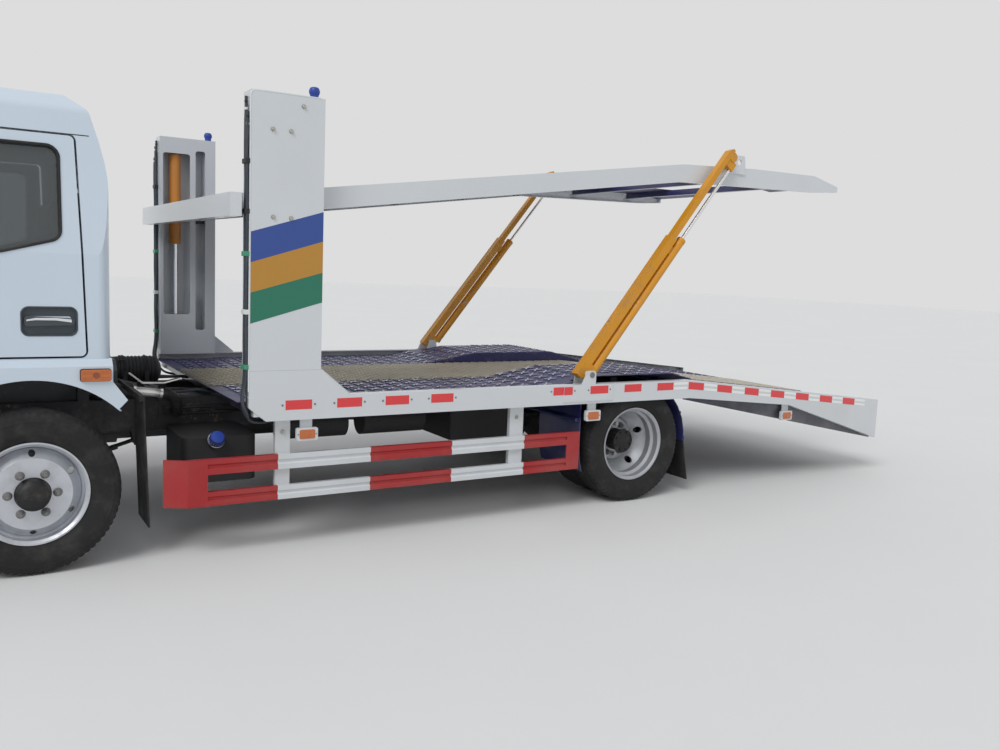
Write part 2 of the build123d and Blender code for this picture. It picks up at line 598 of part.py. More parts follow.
def upper_deck_frame():
    """Side rails, hinge bosses, front beam, cross-members and strut lugs."""
    rail = channel(UPPER_TOP + UPPER_BOTTOM, UPPER_HALF_WIDTH, UPPER_FLANGE, UPPER_WALL)
    boss = rod_y(SLOT_X, HINGE_Z, HINGE_RADIUS + 18, UPPER_HALF_WIDTH - UPPER_FLANGE, UPPER_HALF_WIDTH)
    lug = [(UPPER_PIN_X - 206, UPPER_PIN_Z - 103), (UPPER_PIN_X + 44, UPPER_PIN_Z - 103),
           (UPPER_PIN_X + 32, UPPER_PIN_Z + 32), (UPPER_PIN_X - 190, UPPER_PIN_Z + 32)]
    plate = across(outline(lug, 14), UPPER_HALF_WIDTH, UPPER_HALF_WIDTH + LUG_THICKNESS)
    plate = plate - rod_y(UPPER_PIN_X - 139, UPPER_PIN_Z - 18, 20, UPPER_HALF_WIDTH - 1,
                          UPPER_HALF_WIDTH + LUG_THICKNESS + 1)
    pieces = []
    for shape in (rail, boss, plate):
        pieces += both_sides(shape)
    beam_z = upper_top_z(-950)
    beam_half = DECK_HALF_WIDTH - 12
    pieces.append(block(-990, -930, -beam_half, beam_half, beam_z - 118, beam_z + 4))
    inner = UPPER_HALF_WIDTH - UPPER_WALL
    top = UPPER_FLOOR_DROP + FLOOR_PLATE
    for x in UPPER_BEARERS:
        pieces.append(bearer(x, 25, inner, top, top + 50, upper_top_z))
    frame = fuse(pieces)
    bore = rod_y(SLOT_X, HINGE_Z, HINGE_RADIUS + RUNNING, -1300, 1300)
    return frame - bore


def upper_tracks():
    """Two wheel tracks of the upper deck."""
    stations = [-995] + [x for x, z in UPPER_TOP[1:4]] + [UPPER_TOP[4][0] + 40]
    top = [(x, upper_top_z(x) - UPPER_FLOOR_DROP) for x in stations]
    top[-1] = (stations[-1], top[-2][1] - 28)
    lower = [(x, z - FLOOR_PLATE) for x, z in reversed(top)]
    plate = across(outline(top + lower), TRACK_INNER_Y - 40, UPPER_HALF_WIDTH - UPPER_FLANGE - 4)
    return both_sides(plate)


STRUT_REACH_X = STRUT_FOOT_X - UPPER_PIN_X
STRUT_REACH_Z = UPPER_PIN_Z - STRUT_FOOT_Z
STRUT_LENGTH = hypot(STRUT_REACH_X, STRUT_REACH_Z)


def strut_plane(y):
    """Plane of a strut: local x from foot to pin, local y towards its underside."""
    run = (-STRUT_REACH_X / STRUT_LENGTH, 0, STRUT_REACH_Z / STRUT_LENGTH)
    return Plane(origin=(at(STRUT_FOOT_X), y, STRUT_FOOT_Z), x_dir=run, z_dir=(0, -1, 0))


def strut_box(start, end, low, high, half_width):
    """Box along the strut between two distances and two depths."""
    centre = ((start + end) / 2, (low + high) / 2, 0)
    return strut_plane(STRUT_Y) * Pos(*centre) * Box(end - start, high - low, 2 * half_width)


def strut_bar(start, end, depth, radius):
    """Round bar along the strut."""
    return strut_plane(STRUT_Y) * Pos((start + end) / 2, depth, 0) * Rot(0, 90, 0) * Cylinder(radius, end - start)


# The box runs above the line between the two pins and the cylinder below it
BOX_DEPTH = -41
BOX_TOP = BOX_DEPTH - STRUT_DEPTH / 2
BOX_UNDERSIDE = BOX_DEPTH + STRUT_DEPTH / 2
BARREL_DEPTH = BARREL_RADIUS + 10
BARREL_START = 60
BARREL_END = 1240
ARM_GAP = 2
ROD_START_GAP = 1040
CLEVIS_GAP = 85


def strut_sleeve():
    """Outer sleeve of the strut with the cylinder barrel under it."""
    half_w = STRUT_WIDTH / 2
    sleeve = strut_box(-50, STRUT_SLEEVE_LENGTH, BOX_TOP, BOX_UNDERSIDE, half_w)
    eye = strut_plane(STRUT_Y) * Cylinder(STRUT_PIN_RADIUS + 18, STRUT_WIDTH)
    foot = strut_box(0, BARREL_START + 14, BOX_DEPTH, STRUT_PIN_RADIUS + 18, half_w)
    hollow = strut_box(90, STRUT_SLEEVE_LENGTH + 1, BOX_TOP + STRUT_WALL, BOX_UNDERSIDE - STRUT_WALL,
                       half_w - STRUT_WALL)
    barrel = strut_bar(BARREL_START, BARREL_END, BARREL_DEPTH, BARREL_RADIUS)
    saddle = strut_box(STRUT_SLEEVE_LENGTH - 110, STRUT_SLEEVE_LENGTH - 50, BOX_UNDERSIDE - 2, BARREL_DEPTH, 14)
    body = fuse([sleeve, eye, foot, barrel, saddle]) - hollow
    bore = strut_bar(BARREL_START + 40, BARREL_END - 40, BARREL_DEPTH, ROD_RADIUS + 6)
    gland = strut_bar(BARREL_END - 41, BARREL_END + 1, BARREL_DEPTH, ROD_RADIUS + RUNNING)
    pin_hole = strut_plane(STRUT_Y) * Cylinder(STRUT_PIN_RADIUS + RUNNING, STRUT_WIDTH + 2)
    return body - bore - gland - pin_hole


def strut_arm():
    """Inner arm that slides in the sleeve, with its bevelled end, its pin and the rod's clevis."""
    inset = STRUT_WALL + ARM_GAP
    half_w = STRUT_WIDTH / 2 - inset
    low = BOX_TOP + inset
    high = BOX_UNDERSIDE - inset
    arm = strut_box(STRUT_LENGTH - 1140, STRUT_LENGTH + 45, low, high, half_w)
    bevel = strut_plane(STRUT_Y) * Pos(STRUT_LENGTH + 37, low - 6, 0) * Rot(0, 0, 31) * Box(90, 40, STRUT_WIDTH)
    head = strut_plane(STRUT_Y) * Pos(STRUT_LENGTH, 0, 0) * Cylinder(STRUT_PIN_RADIUS + 14, 2 * half_w)
    neck = strut_box(STRUT_LENGTH - 34, STRUT_LENGTH + 34, high - 4, 0, half_w)
    clevis = strut_box(STRUT_LENGTH - CLEVIS_GAP, STRUT_LENGTH - 20, high - 4, BARREL_DEPTH + ROD_RADIUS + 5, 20)
    pin = rod_y(UPPER_PIN_X, UPPER_PIN_Z, STRUT_PIN_RADIUS, UPPER_HALF_WIDTH + LUG_THICKNESS + 6, STRUT_Y)
    return fuse([arm - bevel, head, neck, clevis, pin])


def strut_rod():
    """Chrome rod of the strut's cylinder, held by the arm's clevis."""
    return strut_bar(STRUT_LENGTH - ROD_START_GAP, STRUT_LENGTH - CLEVIS_GAP, BARREL_DEPTH, ROD_RADIUS)


GUARD_OUTER_Y = DECK_HALF_WIDTH - 32
GUARD_INNER_Y = GUARD_OUTER_Y - 28
GUARD_FRONT_X = -724
GUARD_REAR_X = -WHEELBASE + 506
GUARD_RAILS = ((283, 361), (455, 540))


def guard_profile(low, high):
    """Section of a guard rail: a shallow channel with two rounded ridges."""
    step = (high - low) / 9
    points = [(GUARD_INNER_Y, low), (GUARD_OUTER_Y, low)]
    for share, y in ((3, 0), (4, -9), (5, -9), (6, 0), (9, 0)):
        points.append((GUARD_OUTER_Y + y, low + share * step))
    points.append((GUARD_INNER_Y, high))
    return outline(points)


def side_guard():
    """Side guard: two ridged rails, end plates, angled nose and two posts."""
    pieces = []
    for low, high in GUARD_RAILS:
        pieces.append(along(guard_profile(low, high), GUARD_REAR_X, GUARD_FRONT_X))
    bottom = GUARD_RAILS[0][0]
    top = GUARD_RAILS[1][1]
    pieces.append(block(GUARD_FRONT_X - 101, GUARD_FRONT_X, GUARD_OUTER_Y - 12, GUARD_OUTER_Y, bottom, top))
    pieces.append(block(GUARD_REAR_X, GUARD_REAR_X + 104, GUARD_OUTER_Y - 12, GUARD_OUTER_Y, bottom, top))
    nose = [(GUARD_FRONT_X - 2, GUARD_OUTER_Y), (GUARD_FRONT_X + 116, GUARD_OUTER_Y - 62),
            (GUARD_FRONT_X + 110, GUARD_OUTER_Y - 74), (GUARD_FRONT_X - 2, GUARD_OUTER_Y - 14)]
    pieces.append(upward(outline(nose), bottom, top))
    for front, rear in ((-1197, -1281), (-WHEELBASE + 1056, -WHEELBASE + 954)):
        pieces.append(block(rear, front, GUARD_INNER_Y - 28, GUARD_INNER_Y, bottom + 8, 800))
    return fuse(pieces)


MUDGUARD_INNER_Y = 680
MUDGUARD_OUTER_Y = DECK_HALF_WIDTH - 66


def mudguards():
    """Guards ahead of and behind the rear wheels, on stays from the frame."""
    x = -WHEELBASE
    front = [(x + 447, 250), (x + 470, 330), (x + 476, WHEEL_Z), (x + 478, 600), (x + 478, 722)]
    rear = [(x - 476, WHEEL_Z - 12), (x - 474, 480), (x - 452, 575), (x - 404, 665), (x - 357, 722)]
    pieces = []
    for line, stay in ((front, (x + 497, 610)), (rear, (x - 449, 612))):
        lean = 6 if line is front else -6
        skin = outline(line + [(px + lean, pz) for px, pz in reversed(line)])
        bar = rod_y(stay[0], stay[1], 14, FRAME_HALF_WIDTH, MUDGUARD_OUTER_Y - 20)
        pieces.append(across(skin, MUDGUARD_INNER_Y, MUDGUARD_OUTER_Y) + bar)
    guards = []
    for piece in pieces:
        guards += both_sides(piece)
    return guards


def mud_flaps():
    """Rubber flaps behind the front and the rear wheels."""
    front = [(-520, 880), (-543, 170), (-551, 170), (-528, 880)]
    rear = [(-WHEELBASE - 482 - FIT, 440), (-WHEELBASE - 482 - FIT, 385), (-WHEELBASE - 540, 105),
            (-WHEELBASE - 548, 107), (-WHEELBASE - 490, 390), (-WHEELBASE - 490, 440)]
    flaps = []
    for face, low, high in ((outline(front), 800, 1090), (outline(rear), 700, MUDGUARD_OUTER_Y - 2)):
        flaps += both_sides(across(face, low, high))
    bracket = block(-519.7, -505, FRAME_HALF_WIDTH, 1090, 850, 880) + block(-519.7, -505, FRAME_HALF_WIDTH - 30, FRAME_HALF_WIDTH + 2, FRAME_TOP_Z, 880)
    return flaps + both_sides(bracket)


def marker_lamps():
    """Side marker lamps on holders under the side rails."""
    pieces = []
    rail = across(outline(side_rail_points()), GUARD_OUTER_Y - 100, DECK_HALF_WIDTH)
    for x, top in ((-1365, DECK_BOTTOM_Z), (-WHEELBASE + 415, DECK_BOTTOM_Z), (-WHEELBASE - 1530, TAIL_BEND_Z)):
        holder = block(x - 35, x + 35, GUARD_OUTER_Y - 10, GUARD_OUTER_Y, top - 100, top + 20) - rail
        lamp = block(x - 62, x + 62, GUARD_OUTER_Y, GUARD_OUTER_Y + 22, top - 122, top - 50)
        lamp = fillet(lamp.edges().filter_by(Axis.Y), 10)
        pieces += both_sides(holder + lamp)
    return pieces


def tail_lamps():
    """Rear lamp clusters in the tail corners."""
    lamp = block(TAIL_X + 2, TAIL_X + 40, 960, 1130, 390, 500)
    lamp = fillet(lamp.edges().filter_by(Axis.X), 12)
    plate = block(TAIL_X + 40, TAIL_X + 46, 940, DECK_HALF_WIDTH - DECK_FLANGE - 12, 370, 520)
    return both_sides(lamp + plate)


def wheel_ring(y, profile):
    """Revolve a (Y offset, radius) profile about the axle line at y."""
    plane = Plane(origin=(0, y, 0), x_dir=(0, 1, 0), z_dir=(1, 0, 0))
    return revolve(plane * profile, Axis((0, 0, 0), (0, 1, 0)), 360)


def tyre_profile():
    """Half-width, radius outline of a tyre with rounded sidewalls and shoulders."""
    half = TYRE_WIDTH / 2
    seat = RIM_SEAT_RADIUS + FIT
    bead = RIM_WIDTH / 2 - 7
    sides = []
    for side in (-1, 1):
        sides.append(ThreePointArc((side * bead, RIM_LIP_RADIUS + 6), (side * half, 330), (side * (half - 14), 396)))
    lines = [Line((-bead, seat), (bead, seat)), Line((bead, seat), (bead, RIM_LIP_RADIUS + 6)),
             Line((-bead, seat), (-bead, RIM_LIP_RADIUS + 6)),
             Line((half - 14, 396), (half - 34, TYRE_RADIUS)), Line((-half + 14, 396), (-half + 34, TYRE_RADIUS)),
             Line((-half + 34, TYRE_RADIUS), (half - 34, TYRE_RADIUS))]
    return make_face(sides + lines)


def rim_profile(disc_y):
    """Rim barrel with lips and a drop centre, and a disc whose outer face is at disc_y."""
    half = RIM_WIDTH / 2
    lip = half - 7 + FIT
    seat = RIM_SEAT_RADIUS
    wall = RIM_WALL
    points = [(-half, RIM_LIP_RADIUS), (-lip, RIM_LIP_RADIUS), (-lip, seat), (-30, seat), (-18, seat - 18),
              (18, seat - 18), (30, seat), (lip, seat), (lip, RIM_LIP_RADIUS), (half, RIM_LIP_RADIUS),
              (half, RIM_LIP_RADIUS - 8), (lip - 4, seat - wall), (38, seat - wall), (24, seat - 18 - wall),
              (-24, seat - 18 - wall), (-38, seat - wall), (-lip + 4, seat - wall), (-half, RIM_LIP_RADIUS - 8)]
    return outline(points)


def wheel_disc(mount, root, flat_radius, thick=12):
    """Disc from the hub face out to the barrel: flat middle, then a cone back to the rim."""
    points = [(mount, 78), (mount, flat_radius), (root, RIM_SEAT_RADIUS - 18 - RIM_WALL + 2),
              (root - thick, RIM_SEAT_RADIUS - 18 - RIM_WALL + 2),
              (mount - thick, flat_radius - 6), (mount - thick, 78)]
    return outline(points)


def holes_ring(count, ring, radius, y_low, y_high, turn=0):
    """Round cutters on a circle about the axle line."""
    cutters = []
    for number in range(count):
        angle = 2 * pi * number / count + radians(turn)
        place = Pos(ring * cos(angle), (y_low + y_high) / 2, ring * sin(angle))
        cutters.append(place * Rot(90, 0, 0) * Cylinder(radius, y_high - y_low))
    return cutters


def front_wheel_parts():
    """Tyre and rim of a left front wheel, at the axle line."""
    tyre = wheel_ring(FRONT_WHEEL_Y, tyre_profile())
    disc_y = RIM_WIDTH / 2 - 8
    disc_face = wheel_disc(disc_y, 34, 180)
    rim = wheel_ring(FRONT_WHEEL_Y, rim_profile(0)) + wheel_ring(FRONT_WHEEL_Y, disc_face)
    for cutter in holes_ring(6, 201, 16, FRONT_WHEEL_Y - 40, FRONT_WHEEL_Y + 120, 30):
        rim = rim - cutter
    mount_y = FRONT_WHEEL_Y + disc_y - 12
    hub = [(KINGPIN_Y + 88, SPINDLE_RADIUS + RUNNING), (KINGPIN_Y + 88, 165), (mount_y - 80, 165), (mount_y - 80, 90),
           (mount_y - 14, 90), (mount_y - 14, 136), (mount_y, 136), (mount_y, 76), (mount_y + 60, 70),
           (mount_y + 72, 58), (mount_y + 72, 0), (KINGPIN_Y + 275, 0), (KINGPIN_Y + 275, SPINDLE_RADIUS + RUNNING)]
    hub_solid = wheel_ring(0, outline(hub))
    rim = rim + hub_solid
    for stud in holes_ring(6, STUD_CIRCLE_RADIUS, 14, mount_y + 6, mount_y + 36):
        rim = rim + stud
    return tyre, rim


def rear_wheel_parts():
    """Tyres and rims of a left twin wheel, at the axle line."""
    inner_y = REAR_WHEEL_Y - TWIN_SPACING
    tyres = [wheel_ring(REAR_WHEEL_Y, tyre_profile()), wheel_ring(inner_y, tyre_profile())]
    depth = TWIN_SPACING / 2
    outer = wheel_ring(REAR_WHEEL_Y, rim_profile(0))
    outer_disc = [(-depth, 78), (-depth + 12, 78), (-depth + 12, 150), (-40, RIM_SEAT_RADIUS - RIM_WALL + 3),
                  (-52, RIM_SEAT_RADIUS - RIM_WALL + 3), (-depth, 156)]
    outer = outer + wheel_ring(REAR_WHEEL_Y, outline(outer_disc))
    inner = wheel_ring(inner_y, rim_profile(0))
    inner_disc = [(depth, 78), (depth, 156), (52, RIM_SEAT_RADIUS - RIM_WALL + 3),
                  (40, RIM_SEAT_RADIUS - RIM_WALL + 3),
                  (depth - 12, 150), (depth - 12, 78)]
    inner = inner + wheel_ring(inner_y, outline(inner_disc))
    rim = outer + inner
    for cutter in holes_ring(5, 196, 24, REAR_MOUNT_Y - 90, REAR_MOUNT_Y + 90, 18):
        rim = rim - cutter
    mount = REAR_MOUNT_Y - 12
    hub = [(mount - 175, 38 + RUNNING), (mount - 175, 176), (mount - 40, 176), (mount - 40, 140), (mount, 140),
           (mount, 76), (mount + 110, 72), (mount + 118, 84), (mount + 132, 84), (mount + 140, 50),
           (mount + 140, 0), (mount + 90, 0), (mount + 90, 38 + RUNNING)]
    rim = rim + wheel_ring(0, outline(hub))
    for stud in holes_ring(6, STUD_CIRCLE_RADIUS, 14, REAR_MOUNT_Y + 6, REAR_MOUNT_Y + 44, 30):
        rim = rim + stud
    return tyres, rim


def knuckle():
    """Steering knuckle: two lugs about the axle eye, king pin, spindle and steering arm."""
    y = KINGPIN_Y
    pieces = [rod_z(0, y, KINGPIN_RADIUS, WHEEL_Z - 95, WHEEL_Z + 95)]
    for low, high in ((AXLE_EYE_HALF + 5, 95), (-95, -AXLE_EYE_HALF - 5)):
        pieces.append(rod_z(0, y, 36, WHEEL_Z + low, WHEEL_Z + high))
        pieces.append(block(-30, 30, y, y + 50, WHEEL_Z + low, WHEEL_Z + high))
    pieces.append(block(-45, 45, y + 47, y + 66, WHEEL_Z - 95, WHEEL_Z + 95))
    pieces.append(rod_y(0, WHEEL_Z, 150, y + 64, y + 74))
    pieces.append(rod_y(0, WHEEL_Z, SPINDLE_RADIUS, y + 66, y + 262))
    arm_z = WHEEL_Z - 83
    pieces.append(block(-STEERING_ARM, -20, y - 18, y + 18, arm_z - 12, arm_z + 12))
    pieces.append(rod_z(-STEERING_ARM, y, 24, arm_z - 12, arm_z + 12))
    pieces.append(rod_z(-STEERING_ARM, y, 9, TIE_ROD_Z - 18, arm_z))
    return fuse(pieces)


def tie_rod():
    """Rod between the two steering arms, with an eye about each arm's pin."""
    rod = rod_y(-STEERING_ARM, TIE_ROD_Z, 14, -KINGPIN_Y, KINGPIN_Y)
    pieces = [rod]
    for side in (-1, 1):
        pieces.append(rod_z(-STEERING_ARM, side * KINGPIN_Y, 22, TIE_ROD_Z - 18, TIE_ROD_Z + 18))
    body = fuse(pieces)
    for side in (-1, 1):
        body = body - rod_z(-STEERING_ARM, side * KINGPIN_Y, 9 + RUNNING, TIE_ROD_Z - 30, TIE_ROD_Z + 30)
    return body


WINDSCREEN_FOOT = (975, 1330)
WINDSCREEN_HEAD = (634, ROOF_JOINT_Z)
CAB_SIDE = [(CAB_REAR_X, CAB_FLOOR_Z), (CAB_REAR_X, 1900), (CAB_REAR_X + 4, 1985), (CAB_REAR_X + 16, 2065),
            (CAB_REAR_X + 45, ROOF_JOINT_Z), WINDSCREEN_HEAD, WINDSCREEN_FOOT,
            (CAB_FRONT_X, 1180), (CAB_FRONT_X, CAB_SILL_Z), (620, CAB_SILL_Z), (520, CAB_FLOOR_Z)]
CAB_FRONT_VIEW = [(-CAB_HALF_WIDTH, 600), (CAB_HALF_WIDTH, 600), (CAB_HALF_WIDTH, 1600), (985, 2190),
                  (900, 2600), (-900, 2600), (-985, 2190), (-CAB_HALF_WIDTH, 1600)]
CAB_PLAN = [(CAB_REAR_X, -CAB_HALF_WIDTH), (740, -CAB_HALF_WIDTH), (950, -930), (CAB_FRONT_X, -640),
            (CAB_FRONT_X, 640), (950, 930), (740, CAB_HALF_WIDTH), (CAB_REAR_X, CAB_HALF_WIDTH)]


def cab_body(inset):
    """Cab form at a given depth below its outer skin."""
    shift = -inset
    side = outline(CAB_SIDE)
    front = outline(CAB_FRONT_VIEW)
    plan = outline(CAB_PLAN, 60)
    if inset:
        side = offset(side, amount=shift, kind=Kind.INTERSECTION)
        front = offset(front, amount=shift, kind=Kind.INTERSECTION)
        plan = offset(plan, amount=shift, kind=Kind.INTERSECTION)
    form = across(side, -1200, 1200) & along(front, -600, 1200)
    return form & upward(plan, 500, 2600)


DOOR_OUTLINE = [(DOOR_REAR_X, DOOR_BOTTOM_Z), (-225, ROOF_JOINT_Z), (505, ROOF_JOINT_Z), (DOOR_FRONT_X, 1640),
                (DOOR_FRONT_X, DOOR_BOTTOM_Z)]
DOOR_WINDOW = [(-150, 1672), (-150, 2125), (470, 2125), (672, 1640), (672, 1590), (110, 1600)]
DOOR_CORNER = 30
HINGE_AXIS_X = DOOR_FRONT_X - MOVING_GAP / 2 - 4
HINGE_AXIS_Y = CAB_HALF_WIDTH - 4
DOOR_HINGES = (1180, 1520)


def door_parts():
    """Left door as thick as the cab wall, its glass, and the opening it leaves."""
    room = along(offset(outline(CAB_FRONT_VIEW), amount=-CAB_WALL, kind=Kind.INTERSECTION), -600, 1200)
    wall = cab_body(0) - cab_body(CAB_WALL) - room
    leaf = offset(outline(DOOR_OUTLINE, DOOR_CORNER), amount=-MOVING_GAP / 2, kind=Kind.INTERSECTION)
    door = wall & across(leaf, 700, 1200)
    window = outline(DOOR_WINDOW, 40)
    door = door - across(window, 700, 1200)
    recess = outline([(-215, 1195), (-215, 1335), (30, 1335), (30, 1195)], 30)
    door = door - across(recess, CAB_HALF_WIDTH - 14, 1200)
    grip = outline([(-190, 1248), (-190, 1290), (5, 1290), (5, 1248)], 12)
    door = door + across(grip, CAB_HALF_WIDTH - 14, CAB_HALF_WIDTH - 2)
    pane = (cab_body(18) - cab_body(24)) & across(offset(window, amount=-FIT), 700, 1200)
    opening = offset(outline(DOOR_OUTLINE, DOOR_CORNER), amount=MOVING_GAP / 2, kind=Kind.INTERSECTION)
    opening = across(opening, 700, 1200)
    for z in DOOR_HINGES:
        door = door - rod_z(HINGE_AXIS_X, HINGE_AXIS_Y, 15, z + 14, z + 50)
        door = door + rod_z(HINGE_AXIS_X, HINGE_AXIS_Y, 10, z - 15, z + 15)
        door = door - rod_z(HINGE_AXIS_X, HINGE_AXIS_Y, 5 + RUNNING, z - 20, z + 20)
    return door, pane, opening


def hinge_post(z):
    """Cab half of a door hinge: knuckle, leaf and pin."""
    low = z + 15 + FIT
    knuckle_part = rod_z(HINGE_AXIS_X, HINGE_AXIS_Y, 10, low, z + 45)
    leaf = block(HINGE_AXIS_X, DOOR_FRONT_X + 20, HINGE_AXIS_Y - 6, HINGE_AXIS_Y + 4, low, z + 45)
    pin = rod_z(HINGE_AXIS_X, HINGE_AXIS_Y, 5, z - 15, z + 45)
    return knuckle_part + leaf + pin


WINDSCREEN_VIEW = [(-900, 1390), (900, 1390), (860, 2110), (-860, 2110)]
REAR_WINDOW_VIEW = [(-700, 1600), (700, 1600), (700, 2000), (-700, 2000)]


def cab_shell(door_opening):
    """Hollow cab with its openings, fenders, wheel-arch liners and tilt hinges."""
    shell = cab_body(0) - cab_body(CAB_WALL)
    roof_cut = block(-600, 1200, -1200, 1200, ROOF_JOINT_Z - 0.01, 2700)
    head_hole = outline([(CAB_REAR_X + CAB_WALL + 20, -930), (610, -930), (610, 930), (CAB_REAR_X + CAB_WALL + 20, 930)])
    shell = shell - upward(head_hole, ROOF_JOINT_Z - CAB_WALL - 5, ROOF_JOINT_Z + 10) - roof_cut
    shell = shell - door_opening - other_side(door_opening)
    shell = shell - along(outline(WINDSCREEN_VIEW, 50), 560, 1200)
    shell = shell - along(outline(REAR_WINDOW_VIEW, 50), -500, CAB_REAR_X + CAB_WALL + 20)
    fender = outline([(CAB_REAR_X, 1076), (CAB_REAR_X, 960), (-445, 863), (-400, 815), (-330, CAB_SILL_Z),
                      (620, CAB_SILL_Z), (620, 1076)])
    fender = fender - (Pos(0, WHEEL_Z) * Circle(ARCH_RADIUS))
    panel = across(fender, CAB_HALF_WIDTH - 55, CAB_HALF_WIDTH + 42)
    crest = Pos(at(120), CAB_HALF_WIDTH + 42, 1076) * Rot(45, 0, 0) * Box(1100, 50, 50)
    panel = panel - crest
    arch = (Pos(0, WHEEL_Z) * Circle(ARCH_RADIUS + 8)) - (Pos(0, WHEEL_Z) * Circle(ARCH_RADIUS))
    arch = arch & (Pos(0, 1200) * Rectangle(840, 800))
    liner = across(arch, 720, CAB_HALF_WIDTH)
    skirt_tie = block(-330, -300, 720, CAB_HALF_WIDTH - 50, 895, CAB_FLOOR_Z + 5)
    apron = block(CAB_FRONT_X - 25, CAB_FRONT_X, -640, 640, 715, CAB_SILL_Z + 10)
    eye = rod_y(CAB_PIVOT_X, CAB_PIVOT_Z, 34, 340, 380)
    arm = block(CAB_PIVOT_X - 26, CAB_PIVOT_X + 26, 340, 380, CAB_PIVOT_Z, CAB_SILL_Z + 10)
    bore = rod_y(CAB_PIVOT_X, CAB_PIVOT_Z, CAB_PIVOT_RADIUS + RUNNING, 300, 420)
    bracket = (eye + arm) - bore
    pieces = [shell, apron]
    for shape in (panel, liner, skirt_tie, bracket):
        pieces += both_sides(shape)
    for z in DOOR_HINGES:
        room = rod_z(HINGE_AXIS_X, HINGE_AXIS_Y, 15, z - 17, z + 15 + FIT)
        pieces[0] = pieces[0] - room - other_side(room)
        pieces += both_sides(hinge_post(z))
    return fuse(pieces)


ROOF_REAR_X = CAB_REAR_X + 45
ROOF_SIDE = [(ROOF_REAR_X - 28, ROOF_JOINT_Z - 100), (ROOF_REAR_X + 38, ROOF_TOP_Z - 88), (-178, ROOF_TOP_Z),
             (400, ROOF_TOP_Z), (560, ROOF_TOP_Z - 80), (680, ROOF_JOINT_Z - 100)]
ROOF_FRONT_VIEW = [(-998, ROOF_JOINT_Z - 100), (-968, ROOF_TOP_Z - 84), (-870, ROOF_TOP_Z - 8), (-640, ROOF_TOP_Z + 1),
                   (640, ROOF_TOP_Z + 1), (870, ROOF_TOP_Z - 8), (968, ROOF_TOP_Z - 84), (998, ROOF_JOINT_Z - 100)]


def cab_roof():
    """Raised roof cap that stands on the cab's joint line."""
    side = outline(ROOF_SIDE, 55)
    front = outline(ROOF_FRONT_VIEW, 50)
    outer = across(side, -1200, 1200) & along(front, -600, 1200)
    outer = outer - block(-700, 1300, -1300, 1300, ROOF_JOINT_Z - 300, ROOF_JOINT_Z)
    inner = across(offset(side, amount=-30, kind=Kind.INTERSECTION), -1200, 1200)
    inner = inner & along(offset(front, amount=-30, kind=Kind.INTERSECTION), -600, 1200)
    low = across(outline([(-285, ROOF_JOINT_Z - 1), (590, ROOF_JOINT_Z - 1), (575, ROOF_JOINT_Z + 40), (-270, ROOF_JOINT_Z + 40)]), -940, 940)
    return outer - inner - low


def cab_glass():
    """Windscreen and rear window."""
    layer = cab_body(18) - cab_body(24)
    screen = layer & along(offset(outline(WINDSCREEN_VIEW, 50), amount=-FIT), 560, 1200)
    rear = layer & along(offset(outline(REAR_WINDOW_VIEW, 50), amount=-FIT), -500, CAB_REAR_X + CAB_WALL + 20)
    return [screen, rear]


def cab_interior():
    """Dashboard, seats and steering wheel."""
    inner_y = CAB_HALF_WIDTH - CAB_WALL - FIT
    dash = outline([(905, 1130), (905, 1330), (850, 1400), (640, 1430), (600, 1360), (700, 1130)])
    board = across(dash, 10 - inner_y, inner_y - 10) & cab_body(CAB_WALL + FIT)
    seats = []
    floor_z = CAB_FLOOR_Z + CAB_WALL
    for y, half in ((520, 240), (-380, 430)):
        base = block(-230, 230, y - half + 40, y + half - 40, floor_z, 1190)
        cushion = block(-250, 260, y - half, y + half, 1190, 1330)
        cushion = fillet(cushion.edges().filter_by(Axis.Y), 40)
        back = outline([(-280, 1300), (-150, 1300), (-205, 1930), (-290, 1930)], 18)
        rest = across(back, y - half, y + half)
        seats.append(fuse([base, cushion, rest]))
    axis = Plane(origin=(at(560), 520, 1500), z_dir=(-0.55, 0, 0.835))
    wheel = axis * Torus(195, 15)
    spoke = axis * Box(390, 40, 14)
    spoke_two = axis * Pos(0, -95, 0) * Box(40, 190, 14)
    column = axis * Pos(0, 0, -90) * Cylinder(28, 190)
    steering = fuse([wheel, spoke, spoke_two, column])
    board = board - axis * Pos(0, 0, -90) * Cylinder(28 + FIT, 200)
    return board, seats, steering


def grille():
    """Slatted panel on the cab's nose."""
    panel = block(CAB_FRONT_X, CAB_FRONT_X + 16, -600, 600, 920, 1120)
    panel = fillet(panel.edges().filter_by(Axis.X), 30)
    for z in (950, 988, 1026, 1064):
        panel = panel - block(CAB_FRONT_X - 1, CAB_FRONT_X + 17, -560, 560, z, z + 22)
    for y in (-280, 0, 280):
        panel = panel + block(CAB_FRONT_X, CAB_FRONT_X + 12, y - 8, y + 8, 940, 1100)
    return panel


def mirrors():
    """Door mirrors on arms from the cab's front corners."""
    arm_low = rod_y(880, 1500, 12, 930, 1215)
    arm_high = rod_y(760, 1900, 12, 965, 1215)
    upright = Plane(origin=(at(880), 1205, 1500), z_dir=(-120, 0, 400)) * Pos(0, 0, 209) * Cylinder(12, 418)
    head = block(780, 850, 1110, 1310, 1530, 1880)
    head = fillet(head.edges(), 22)
    return both_sides(fuse([arm_low, arm_high, upright, head]) - cab_body(0))


